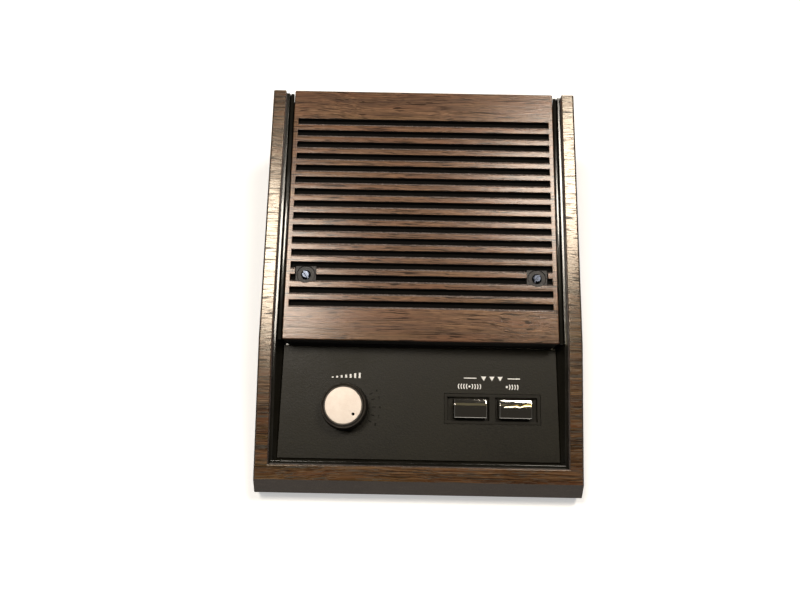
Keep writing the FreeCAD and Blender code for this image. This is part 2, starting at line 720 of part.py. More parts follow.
def make_button(x):
    top = PANEL_D - BUTTON_RISE
    side = top + BUTTON_CROWN
    near = CONTROL_ROW - BUTTON_DEPTH / 2
    far = CONTROL_ROW + BUTTON_DEPTH / 2
    crest = near + BUTTON_CREST * BUTTON_DEPTH
    outline = [(near, side), (crest, top), (far, side), (far, STOP_D), (near, STOP_D)]
    body = across(outline, BUTTON_WIDTH / 2)
    rim = [edge for edge in body.Edges if edge.BoundBox.ZMin > -side - 0.01 and not crest_edge(edge, crest)]
    body = body.makeFillet(BUTTON_EDGE, rim)
    body.translate(Vector(x, 0, 0))
    stop = centred(x, CONTROL_ROW, BUTTON_WIDTH + 2 * STOP_FLANGE, BUTTON_DEPTH + 2 * STOP_FLANGE,
                   STOP_D, STOP_D + STOP_THICKNESS)
    body = body.fuse(stop)
    roof = side + BUTTON_ROOF
    body = body.cut(disc(x, CONTROL_ROW, SPRING_RADIUS + SPRING_WIRE + SPRING_ROOM, roof, THROUGH))
    stem = disc(x, CONTROL_ROW, STEM_RADIUS, roof - STEM_ROOT, SWITCH_D + STEM_REACH)
    return body.fuse(stem).removeSplitter()


def crest_edge(edge, crest):
    ends = [vertex.Point for vertex in edge.Vertexes]
    return all(abs(-end.y - crest) < 0.01 for end in ends)


def arc_edge(start, corner, end):
    weight = (end - start).Length / 2 / (corner - start).Length
    middle = (start + corner * 2 * weight + end) * (1 / (2 + 2 * weight))
    return Part.Arc(start, middle, end).toShape()


def joined_arcs(start, start_way, end, end_way):
    chord = end - start
    both = start_way + end_way
    spread = 2 * (1 - start_way.dot(end_way))
    along_both = chord.dot(both)
    reach = (math.sqrt(along_both ** 2 + spread * chord.dot(chord)) - along_both) / spread
    first = start + start_way * reach
    second = end - end_way * reach
    meeting = (first + second) * 0.5
    return [arc_edge(start, first, meeting), arc_edge(meeting, second, end)]


def coil_point(turn, radius, rise):
    angle = 2 * math.pi * turn
    point = Vector(radius * math.cos(angle), radius * math.sin(angle), rise * turn)
    way = Vector(-radius * math.sin(angle), radius * math.cos(angle), rise / 2 / math.pi)
    return point, way.normalize()


def wire_section(centre, way):
    outward = Vector(centre.x, centre.y, 0).normalize()
    upward = way.cross(outward)
    points = []
    for side in range(SPRING_SIDES + 1):
        angle = 2 * math.pi * side / SPRING_SIDES
        reach = outward * math.cos(angle) + upward * math.sin(angle)
        points.append(centre + reach * SPRING_WIRE)
    return points


def make_button_spring(x):
    roof = PANEL_D - BUTTON_RISE + BUTTON_CROWN + BUTTON_ROOF
    length = SWITCH_D - roof - 2 * SPRING_WIRE
    rise = length / SPRING_TURNS
    edges = []
    for half_turn in range(2 * SPRING_TURNS):
        start, start_way = coil_point(half_turn / 2, SPRING_RADIUS, rise)
        end, end_way = coil_point((half_turn + 1) / 2, SPRING_RADIUS, rise)
        edges += joined_arcs(start, start_way, end, end_way)
    start, start_way = coil_point(0, SPRING_RADIUS, rise)
    section = Part.makePolygon(wire_section(start, start_way))
    coil = Part.Wire(edges).makePipeShell([section], True, False)
    coil.translate(at(x, CONTROL_ROW, SWITCH_D - SPRING_WIRE))
    return coil


def make_switch(x):
    body = centred(x, CONTROL_ROW, SWITCH_WIDTH, SWITCH_DEPTH, SWITCH_D, BOARD_D)
    uprights = [edge for edge in body.Edges if abs(edge.Vertexes[0].Z - edge.Vertexes[1].Z) > 1]
    body = body.makeChamfer(SWITCH_CORNER, uprights)
    well_end = SWITCH_D + BUTTON_TRAVEL + STEM_ROOM
    return body.cut(disc(x, CONTROL_ROW, STEM_RADIUS + SLIDE_GAP, 0, well_end))


def switch_lug_places():
    places = []
    for x in BUTTON_X:
        for dx in (-0.3, 0.0, 0.3):
            for ds in (-0.3, 0.3):
                places.append((x + dx * SWITCH_WIDTH, CONTROL_ROW + ds * SWITCH_DEPTH))
    return places


def switch_lug(x, s, gap):
    end = BOARD_D + BOARD_THICKNESS + LUG_TAIL
    return centred(x, s, LUG_WIDTH + gap, LUG_SHEET + gap, BOARD_D, end)


def make_switch_lugs():
    return group([switch_lug(x, s, 0.0) for x, s in switch_lug_places()])


def standoff_places():
    return [(BUTTONS_X + a * STANDOFF_X, CONTROL_ROW + b * STANDOFF_S) for a in (-1, 1) for b in (-1, 1)]


def make_board():
    board = centred(BUTTONS_X, CONTROL_ROW, BOARD_WIDTH, BOARD_DEPTH, BOARD_D, BOARD_D + BOARD_THICKNESS)
    holes = [disc(x, s, BOARD_SCREW_RADIUS, 0, THROUGH) for x, s in standoff_places()]
    holes += [switch_lug(x, s, 0.0) for x, s in switch_lug_places()]
    return board.cut(holes)


def make_board_screws():
    seat = BOARD_D + BOARD_THICKNESS
    screws = []
    for x, s in standoff_places():
        screw = plain_screw(x, s, seat, BOARD_HEAD_RADIUS, BOARD_HEAD_HEIGHT,
                            BOARD_SCREW_RADIUS, BOARD_SCREW_LENGTH)
        screws.append(flipped(screw, s, seat))
    return group(screws)


# The volume control

def flat_cut(radius, flat, d0, d1):
    return block(radius - flat, radius + 1, -radius - 1, radius + 1, d0, d1)


def make_shaft():
    top = PANEL_D - KNOB_GAP - KNOB_HEIGHT + SHAFT_TOP_DROP
    shaft = disc(0, 0, SHAFT_RADIUS, top, shaft_end())
    shaft = shaft.cut(flat_cut(SHAFT_RADIUS, SHAFT_FLAT, top - 1, knob_hollow_d()))
    shaft.translate(at(KNOB_X, CONTROL_ROW, 0))
    return shaft


def knob_hollow_d():
    return PANEL_D - KNOB_HOLLOW


def make_knob():
    base = PANEL_D - KNOB_GAP
    top = base - KNOB_HEIGHT + KNOB_GAP
    profile = [(0, top + CAP_THICKNESS), (CAP_RADIUS, top + CAP_THICKNESS), (CAP_RADIUS, top + KNOB_LIP_DROP)]
    shoulder = top + KNOB_SHOULDER_DROP
    profile += [(CAP_RADIUS + KNOB_LIP, top), (KNOB_TOP_RADIUS, top)]
    profile += [(KNOB_SHOULDER - KNOB_ROUND, shoulder - KNOB_ROUND), (KNOB_SHOULDER, shoulder)]
    profile += [(KNOB_RADIUS, base - KNOB_SKIRT)]
    profile += [(KNOB_RADIUS, base), (KNOB_HOLLOW_RADIUS, base)]
    profile += [(KNOB_HOLLOW_RADIUS, knob_hollow_d()), (0, knob_hollow_d())]
    knob = turned(profile, 0, 0)
    bore_top = PANEL_D - KNOB_GAP - KNOB_HEIGHT + SHAFT_TOP_DROP
    bore = disc(0, 0, SHAFT_RADIUS, bore_top, base + 1)
    knob = knob.cut(bore.cut(flat_cut(SHAFT_RADIUS, SHAFT_FLAT, bore_top - 1, base + 2)))
    knob.translate(at(KNOB_X, CONTROL_ROW, 0))
    return knob


def make_knob_cap():
    top = PANEL_D - KNOB_HEIGHT
    profile = [(0, top - CAP_CROWN), (CAP_RADIUS * 0.7, top - CAP_CROWN * 0.6), (CAP_RADIUS - CAP_EDGE, top)]
    profile += [(CAP_RADIUS, top + CAP_EDGE_DROP), (CAP_RADIUS, top + CAP_THICKNESS), (0, top + CAP_THICKNESS)]
    cap = turned(profile, KNOB_X, CONTROL_ROW)
    angle = math.radians(DOT_ANGLE)
    x = KNOB_X + DOT_OFFSET * math.sin(angle)
    s = CONTROL_ROW - DOT_OFFSET * math.cos(angle)
    return cap.cut(disc(x, s, DOT_RADIUS, top - CAP_THICKNESS, top + DOT_SINK))


def make_pot_body():
    back = TRAY_BOTTOM + POT_DEPTH
    profile = [(0, TRAY_BOTTOM), (POT_RADIUS, TRAY_BOTTOM), (POT_RADIUS, back - POT_BEVEL)]
    profile += [(POT_RADIUS - POT_BEVEL, back), (0, back)]
    can = turned(profile, KNOB_X, CONTROL_ROW)
    return can.cut(disc(KNOB_X, CONTROL_ROW, SHAFT_RADIUS + SHAFT_GAP, 0, shaft_end() + SHAFT_END_GAP))


def shaft_end():
    return TRAY_BOTTOM + POT_DEPTH / 2


def make_pot_bushing():
    top = TRAY_BOTTOM - BUSHING_LENGTH
    return ring(KNOB_X, CONTROL_ROW, SHAFT_RADIUS + SHAFT_GAP, BUSHING_RADIUS, top, TRAY_BOTTOM)


def make_pot_washer():
    return ring(KNOB_X, CONTROL_ROW, BUSHING_RADIUS, WASHER_RADIUS, PANEL_D - WASHER_THICKNESS, PANEL_D)


def make_pot_nut():
    corner = NUT_ACROSS_FLATS / 2 / math.cos(math.radians(30))
    seat = PANEL_D - WASHER_THICKNESS
    points = []
    for index in range(6):
        angle = math.radians(60 * index)
        points.append(at(KNOB_X + corner * math.cos(angle), CONTROL_ROW + corner * math.sin(angle), seat))
    nut = Part.Face(Part.makePolygon(points + points[:1])).extrude(Vector(0, 0, NUT_THICKNESS))
    return nut.cut(disc(KNOB_X, CONTROL_ROW, BUSHING_RADIUS, 0, THROUGH))


def make_pot_lugs():
    lugs = []
    for index in (-1, 0, 1):
        x = KNOB_X + index * POT_LUG_PITCH
        start = CONTROL_ROW - math.sqrt(POT_RADIUS ** 2 - (index * POT_LUG_PITCH) ** 2)
        middle = TRAY_BOTTOM + POT_DEPTH / 2
        tip = CONTROL_ROW - POT_RADIUS - POT_LUG_LENGTH
        side = POT_LUG_WIDTH / 2
        lug = block(x - side, x + side, tip, start + POT_LUG_ROOT, middle, middle + LUG_SHEET)
        eye = disc(x, tip + POT_LUG_EYE_INSET, POT_LUG_EYE, 0, THROUGH)
        can = disc(KNOB_X, CONTROL_ROW, POT_RADIUS, TRAY_BOTTOM, TRAY_BOTTOM + POT_DEPTH)
        lugs.append(lug.cut([eye, can]))
    return group(lugs)


# The loudspeaker

def speaker_screw_places():
    reach = SPEAKER_HOLE_SPACING / 2
    return [(a * reach, SPEAKER_S + b * reach) for a in (-1, 1) for b in (-1, 1)]


def make_gasket():
    return ring(0, SPEAKER_S, SOUND_HOLE_RADIUS, SPEAKER_RADIUS, TRAY_BOTTOM, SPEAKER_D)


def basket_neck():
    return MAGNET_RADIUS - BASKET_NECK_INSET


def make_basket():
    seat = SPEAKER_D
    inner = CONE_RADIUS + SURROUND_WIDTH
    shoulder = seat + BASKET_SHOULDER
    floor = seat + BASKET_DEPTH
    foot = basket_neck() + BASKET_FLARE
    eye = COIL_RADIUS + BASKET_EYE
    sheet = BASKET_SHEET
    profile = [(inner, seat), (SPEAKER_RADIUS, seat)]
    profile += [(SPEAKER_RADIUS, seat + sheet), (inner + sheet, seat + sheet)]
    profile += [(inner + sheet, shoulder), (foot + sheet, floor), (eye, floor)]
    profile += [(eye, floor - sheet), (foot, floor - sheet), (inner, shoulder)]
    basket = turned(profile, 0, SPEAKER_S)
    windows = []
    for index in range(BASKET_WINDOWS):
        window = block(-WINDOW_HALF, WINDOW_HALF, WINDOW_START, SPEAKER_RADIUS - WINDOW_RIM,
                       WINDOW_TOP, BASKET_DEPTH - WINDOW_FOOT)
        window.rotate(Vector(0, 0, 0), Vector(0, 0, 1), 45 + 360 / BASKET_WINDOWS * index)
        window.translate(at(0, SPEAKER_S, seat))
        windows.append(window)
    ears = []
    holes = []
    for x, s in speaker_screw_places():
        ears.append(disc(x, s, EAR_RADIUS, seat, seat + sheet))
        holes.append(disc(x, s, SPEAKER_SCREW_RADIUS, 0, THROUGH))
    keep_clear = disc(0, SPEAKER_S, inner, seat - 1, seat + BASKET_SEAT_ROOM)
    return basket.cut(windows).fuse(ears).cut(holes + [keep_clear]).removeSplitter()


def make_spacers():
    spacers = []
    for x, s in speaker_screw_places():
        outer = SPEAKER_SCREW_RADIUS + SPACER_WALL
        spacer = ring(x, s, SPEAKER_SCREW_RADIUS, outer, TRAY_BOTTOM, SPEAKER_D)
        spacers.append(spacer.cut(disc(0, SPEAKER_S, SPEAKER_RADIUS, 0, THROUGH)))
    return group(spacers)


def make_speaker_screws():
    seat = SPEAKER_D + BASKET_SHEET
    screws = []
    for x, s in speaker_screw_places():
        screw = plain_screw(x, s, seat, SPEAKER_HEAD_RADIUS, SPEAKER_HEAD_HEIGHT,
                            SPEAKER_SCREW_RADIUS, SPEAKER_SCREW_LENGTH)
        screws.append(flipped(screw, s, seat))
    return group(screws)


def cone_top():
    return SPEAKER_D + CONE_SEAT


def cone_neck():
    return cone_top() + CONE_DEPTH


def make_surround():
    top = cone_top()
    inner = CONE_RADIUS - SURROUND_LAP
    outer = CONE_RADIUS + SURROUND_WIDTH
    middle = (inner + outer) / 2
    paper = CONE_PAPER
    profile = [(inner, top - paper), (middle, top - SURROUND_RISE), (outer, top - paper), (outer, top)]
    profile += [(middle, top - SURROUND_RISE + SURROUND_SHEET), (inner, top)]
    return turned(profile, 0, SPEAKER_S)


def make_cone():
    top = cone_top()
    neck = cone_neck()
    inner = COIL_RADIUS + COIL_WALL
    profile = [(CONE_RADIUS, top), (CONE_RADIUS, top + CONE_PAPER), (inner, neck + CONE_PAPER), (inner, neck)]
    return turned(profile, 0, SPEAKER_S)


def slope_drop(run):
    return run * CONE_DEPTH / (CONE_RADIUS - COIL_RADIUS - COIL_WALL)


def make_dust_cap():
    seat = cone_neck() - slope_drop(DUST_CAP_RADIUS - COIL_RADIUS - COIL_WALL)
    shoulder = DUST_CAP_RADIUS * 0.6
    crown = seat - DUST_CAP_RISE
    profile = [(0, crown), (shoulder, crown + DUST_CAP_RISE * 0.25), (DUST_CAP_RADIUS, seat)]
    profile += [(DUST_CAP_RADIUS - CONE_PAPER, seat + slope_drop(CONE_PAPER))]
    profile += [(shoulder - CONE_PAPER, crown + DUST_CAP_RISE * 0.25 + CONE_PAPER), (0, crown + CONE_PAPER)]
    return turned(profile, 0, SPEAKER_S)


def coil_end():
    return SPEAKER_D + BASKET_DEPTH + PLATE_THICKNESS + COIL_TAIL


def make_voice_coil():
    return ring(0, SPEAKER_S, COIL_RADIUS, COIL_RADIUS + COIL_WALL, cone_neck() - COIL_LAP, coil_end())


def make_spider():
    seat = SPEAKER_D + BASKET_DEPTH - BASKET_SHEET
    outer = basket_neck() + SPIDER_LAP
    inner = COIL_RADIUS + COIL_WALL
    step = (outer - inner) / SPIDER_FOLDS
    folds = [(inner + index * step, seat - SPIDER_LIFT * (1 + index % 2)) for index in range(SPIDER_FOLDS)]
    folds.append((outer, seat))
    profile = [(r, d - SPIDER_CLOTH) for r, d in folds] + [(r, d) for r, d in reversed(folds)]
    return turned(profile, 0, SPEAKER_S)


def make_top_plate():
    front = SPEAKER_D + BASKET_DEPTH
    inner = COIL_RADIUS + COIL_WALL + COIL_GAP
    return ring(0, SPEAKER_S, inner, MAGNET_RADIUS - PLATE_INSET, front, front + PLATE_THICKNESS)


def make_magnet():
    front = SPEAKER_D + BASKET_DEPTH + PLATE_THICKNESS
    inner = COIL_RADIUS + COIL_WALL + MAGNET_BORE_GAP
    return ring(0, SPEAKER_S, inner, MAGNET_RADIUS, front, front + MAGNET_THICKNESS)


def make_yoke():
    back = SPEAKER_D + BASKET_DEPTH + PLATE_THICKNESS + MAGNET_THICKNESS
    pole = COIL_RADIUS - COIL_GAP
    front = SPEAKER_D + BASKET_DEPTH
    profile = [(0, front), (pole, front), (pole, back), (MAGNET_RADIUS - PLATE_INSET, back)]
    profile += [(MAGNET_RADIUS - PLATE_INSET, back + PLATE_THICKNESS), (0, back + PLATE_THICKNESS)]
    return turned(profile, 0, SPEAKER_S)


# Rear wall fittings

def on_rear(shape, x, height):
    shape = shape.copy()
    wall = Rotation(Vector(1, 0, 0), -90)
    shape.Placement = Placement(at(x, 0, depth_for(0, height)), wall).multiply(shape.Placement)
    return shape


def make_grommet():
    wall = HOUSING_WALL
    lip = GROMMET_FLANGE_RADIUS - GROMMET_BEVEL
    outer = [(INLET_RADIUS, -GROMMET_FLANGE), (lip, -GROMMET_FLANGE)]
    outer += [(GROMMET_FLANGE_RADIUS, GROMMET_BEVEL - GROMMET_FLANGE), (GROMMET_FLANGE_RADIUS, 0)]
    outer += [(GROMMET_RADIUS, 0), (GROMMET_RADIUS, wall), (GROMMET_FLANGE_RADIUS, wall)]
    outer += [(lip, wall + GROMMET_FLANGE), (INLET_RADIUS, wall + GROMMET_FLANGE)]
    return on_rear(turned(outer, 0, 0), INLET_X, INLET_HEIGHT)


def strip_screw_xs():
    reach = STRIP_LENGTH / 2 - STRIP_HOLE_INSET
    return (STRIP_X - reach, STRIP_X + reach)


def strip_front():
    return HOUSING_WALL + STRIP_STANDOFF


def terminal_xs():
    pitch = (STRIP_LENGTH - 4 * STRIP_HOLE_INSET) / TERMINAL_COUNT
    return [STRIP_X + (index - (TERMINAL_COUNT - 1) / 2) * pitch for index in range(TERMINAL_COUNT)]


def make_terminal_strip():
    front = strip_front()
    back = front + STRIP_THICKNESS
    strip = centred(0, 0, STRIP_LENGTH, STRIP_WIDTH, front, back)
    for index in range(TERMINAL_COUNT):
        x = terminal_xs()[index] - STRIP_X
        floor = back - TERMINAL_SLOT_DEPTH
        strip = strip.cut(centred(x, 0, TERMINAL_SLOT_WIDTH, STRIP_WIDTH + 2, floor, back + 1))
        strip = strip.cut(disc(x, 0, TERMINAL_SCREW_RADIUS, floor - TERMINAL_SCREW_LENGTH, back + 1))
    for x in strip_screw_xs():
        strip = strip.cut(disc(x - STRIP_X, 0, STRIP_SCREW_RADIUS, 0, THROUGH))
    return on_rear(strip, STRIP_X, STRIP_HEIGHT)


def make_terminal_screws():
    seat = strip_front() + STRIP_THICKNESS - TERMINAL_SLOT_DEPTH
    screws = []
    for x in terminal_xs():
        screw = plain_screw(0, 0, seat, TERMINAL_HEAD_RADIUS, TERMINAL_HEAD_HEIGHT,
                            TERMINAL_SCREW_RADIUS, TERMINAL_SCREW_LENGTH)
        screws.append(on_rear(flipped(screw, 0, seat), x, STRIP_HEIGHT))
    return group(screws)


def make_strip_screws():
    seat = strip_front() + STRIP_THICKNESS
    screws = []
    for x in strip_screw_xs():
        length = STRIP_THICKNESS + STRIP_STANDOFF - STRIP_SCREW_SHORT
        screw = plain_screw(0, 0, seat, STRIP_HEAD_RADIUS, STRIP_HEAD_HEIGHT, STRIP_SCREW_RADIUS, length)
        screws.append(on_rear(flipped(screw, 0, seat), x, STRIP_HEIGHT))
    return group(screws)


# The base cover, its screws and the feet, in the standing frame

def foot_places():
    x = HALF - FOOT_INSET_X
    front = FRONT_Y + TOP_Y + FOOT_INSET_Y
    rear = REAR_Y + TOP_Y - FOOT_INSET_Y
    return [(side * x, y) for side in (-1, 1) for y in (front, rear)]


def make_base():
    front_s = CHIN_S - HOUSING_WALL
    front_y = TOP_Y - front_s * math.cos(TILT) + depth_for(front_s, FOOT_HEIGHT) * math.sin(TILT)
    rear_s = HOUSING_WALL
    rear_top = depth_for(rear_s, FOOT_HEIGHT + BASE_THICKNESS)
    rear_y = TOP_Y - rear_s * math.cos(TILT) + rear_top * math.sin(TILT)
    half = INNER_HALF - BASE_GAP
    length = rear_y - front_y - 2 * BASE_GAP
    plate = Part.makeBox(2 * half, length, BASE_THICKNESS, Vector(-half, front_y + BASE_GAP, FOOT_HEIGHT))
    cuts = []
    for x, y in post_places():
        cuts.append(Part.makeCylinder(BASE_SCREW_RADIUS, THROUGH, Vector(x, y, 0)))
    for x, y in foot_places():
        cuts.append(Part.makeCylinder(FOOT_PEG_RADIUS, THROUGH, Vector(x, y, 0)))
    return plate.cut(cuts)


def make_base_screws():
    screws = []
    for x, y in post_places():
        screw = pan_screw(0, 0, 0, BASE_HEAD_RADIUS, BASE_HEAD_HEIGHT,
                          BASE_SCREW_RADIUS, BASE_SCREW_LENGTH + BASE_THICKNESS / 2, BASE_SCREW_TURN)
        screw.rotate(Vector(0, 0, 0), Vector(1, 0, 0), 180)
        screw.translate(Vector(x, y, FOOT_HEIGHT))
        screws.append(screw)
    return group(screws)


def make_feet():
    neck = FOOT_HEIGHT + BASE_THICKNESS
    profile = [(0, 0), (FOOT_RADIUS - FOOT_TAPER, 0), (FOOT_RADIUS, FOOT_HEIGHT)]
    profile += [(FOOT_PEG_RADIUS, FOOT_HEIGHT), (FOOT_PEG_RADIUS, neck), (FOOT_PEG_RADIUS + FOOT_BARB, neck)]
    profile += [(0, neck + FOOT_BARB_HEIGHT)]
    feet = []
    for x, y in foot_places():
        points = [Vector(x + r, y, z) for r, z in profile]
        face = Part.Face(Part.makePolygon(points + points[:1]))
        feet.append(face.revolve(Vector(x, y, 0), Vector(0, 0, 1), 360))
    return group(feet)


def write(name, shape):
    shape.exportStep("parts/" + name + ".step")


def report(name, shape):
    state = "" if shape.isValid() else "not valid"
    print(name, len(shape.Solids), round(shape.Volume, 1), state)


def main():
    os.makedirs("parts", exist_ok=True)
    tilted = {
        "trim_frame": make_trim(),
        "tray": make_tray(),
        "tray_screws": make_tray_screws(),
        "grille": make_grille(),
        "speaker_cloth": make_cloth(),
        "front_screws": make_front_screws(),
        "control_panel": make_panel(),
        "button_bezel": make_bezel(),
        "button_left": make_button(BUTTON_X[0]),
        "button_right": make_button(BUTTON_X[1]),
        "button_spring_left": make_button_spring(BUTTON_X[0]),
        "button_spring_right": make_button_spring(BUTTON_X[1]),
        "switch_left": make_switch(BUTTON_X[0]),
        "switch_right": make_switch(BUTTON_X[1]),
        "switch_lugs": make_switch_lugs(),
        "switch_board": make_board(),
        "board_screws": make_board_screws(),
        "volume_knob": make_knob(),
        "knob_cap": make_knob_cap(),
        "pot_shaft": make_shaft(),
        "pot_body": make_pot_body(),
        "pot_bushing": make_pot_bushing(),
        "pot_washer": make_pot_washer(),
        "pot_nut": make_pot_nut(),
        "pot_lugs": make_pot_lugs(),
        "speaker_gasket": make_gasket(),
        "speaker_spacers": make_spacers(),
        "speaker_basket": make_basket(),
        "speaker_screws": make_speaker_screws(),
        "speaker_surround": make_surround(),
        "speaker_cone": make_cone(),
        "speaker_dust_cap": make_dust_cap(),
        "speaker_voice_coil": make_voice_coil(),
        "speaker_spider": make_spider(),
        "speaker_top_plate": make_top_plate(),
        "speaker_magnet": make_magnet(),
        "speaker_yoke": make_yoke(),
        "cable_grommet": make_grommet(),
        "terminal_strip": make_terminal_strip(),
        "terminal_screws": make_terminal_screws(),
        "strip_screws": make_strip_screws(),
    }
    standing = {
        "housing": make_housing(),
        "base_cover": make_base(),
        "base_screws": make_base_screws(),
        "rubber_feet": make_feet(),
    }
    for name, shape in tilted.items():
        standing[name] = stand(shape)
    for name, shape in standing.items():
        report(name, shape)
        write(name, shape)
    axis = Vector(0, -math.sin(TILT), math.cos(TILT))
    knob = stand(Part.Vertex(at(KNOB_X, CONTROL_ROW, PANEL_D))).Point
    inlet = stand(on_rear(Part.Vertex(at(0, 0, HOUSING_WALL / 2)), INLET_X, INLET_HEIGHT)).Point
    print("face normal", axis, "knob", knob, "inlet", inlet)


main()
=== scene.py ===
import json
import math

import bmesh
import bpy
from mathutils import Euler, Matrix, Vector

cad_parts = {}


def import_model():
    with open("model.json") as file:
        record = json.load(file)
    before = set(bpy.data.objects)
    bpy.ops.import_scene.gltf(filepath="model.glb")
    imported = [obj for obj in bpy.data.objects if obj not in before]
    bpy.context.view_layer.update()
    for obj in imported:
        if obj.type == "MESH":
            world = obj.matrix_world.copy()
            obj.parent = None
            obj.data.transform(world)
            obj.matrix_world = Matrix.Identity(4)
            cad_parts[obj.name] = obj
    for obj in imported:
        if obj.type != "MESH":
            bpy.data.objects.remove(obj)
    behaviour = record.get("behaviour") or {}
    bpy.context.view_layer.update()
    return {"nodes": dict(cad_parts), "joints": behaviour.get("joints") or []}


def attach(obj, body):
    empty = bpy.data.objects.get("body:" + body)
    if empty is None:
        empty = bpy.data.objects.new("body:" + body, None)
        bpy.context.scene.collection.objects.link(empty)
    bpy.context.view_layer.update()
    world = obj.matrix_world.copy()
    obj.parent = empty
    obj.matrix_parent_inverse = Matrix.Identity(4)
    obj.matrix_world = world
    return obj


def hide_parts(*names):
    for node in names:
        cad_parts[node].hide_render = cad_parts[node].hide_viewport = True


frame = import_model()

# Lengths are in metres. The face runs down from the top end of the object: on_panel() gives
# a point of the control panel's plane from its place beside the knob's axis.
MM = 0.001
JOINTS = {joint["name"]: joint for joint in frame["joints"]}
KNOB_AXIS = Vector(JOINTS["volume_turn"]["axis"]).normalized()
KNOB_CENTRE = Vector(JOINTS["volume_turn"]["pos_m"])
TILT = math.atan2(-KNOB_AXIS.y, KNOB_AXIS.z)
DOWN_FACE = Vector((0, -math.cos(TILT), -math.sin(TILT)))
KNOB_PLACE = (-48.8, 217.4)
FACE_LIFT = 15.4
LEDGE_LIFT = 11.25
CHANNEL_END = 175.8

# The view of the photograph
CAMERA_PLACE = (-0.013362, -0.210856, 0.471023)
CAMERA_TURN = (24.296, -0.385, 1.006)
CAMERA_LENS = 31.5
SENSOR = 36.0

# Edges and merging in the finished copies of the CAD nodes
MERGE_DISTANCE = 2e-6
FLAT_ANGLE = math.radians(0.6)
BEVEL_ANGLE = math.radians(28)
SHARP_ANGLE = math.radians(50)
NORMAL_WEIGHT = 80

# The sides of the grille: below this depth from its face lie the screw pads and the slots
PAD_SUNK = 0.9
FRONT_FACING = 0.3

# The knob's lighter grey rings: beside the cap, and on the shoulder
CAP_RIM = 12.75
SHOULDER_RING = (13.3, 14.7)

# Ribs beside the grille
RIB_START = 0.45
RIB_END = CHANNEL_END - 0.4
RIB_FOOT = 6.2

# Dial: the angles of its ticks and numbers, first number, and their distances from the knob's axis
DIAL_ANGLES = (27, 15, 0, -16, -29)
DIAL_FIRST = 4
TICK_REACH = 18.0
TICK_LENGTH = 2.3
NUMBER_REACH = 23.2
NUMBER_SIZE = 2.6

# The index dot in the cap
DOT_ANGLE = math.radians(130)
DOT_REACH = 8.5
DOT_RADIUS = 0.93
DOT_LIFT = 13.0

FLOOR_HALF = 3.0
FLOOR_GLOW = 0.42
THREAD_SCALE = 520.0


def on_panel(x, s, lift=0.0):
    """The point x across and s down the face, in millimetres, lift above the panel."""
    across = Vector((1, 0, 0)) * (x - KNOB_PLACE[0]) * MM
    down = DOWN_FACE * (s - KNOB_PLACE[1]) * MM
    return KNOB_CENTRE + across + down + KNOB_AXIS * lift * MM


# Shader graphs

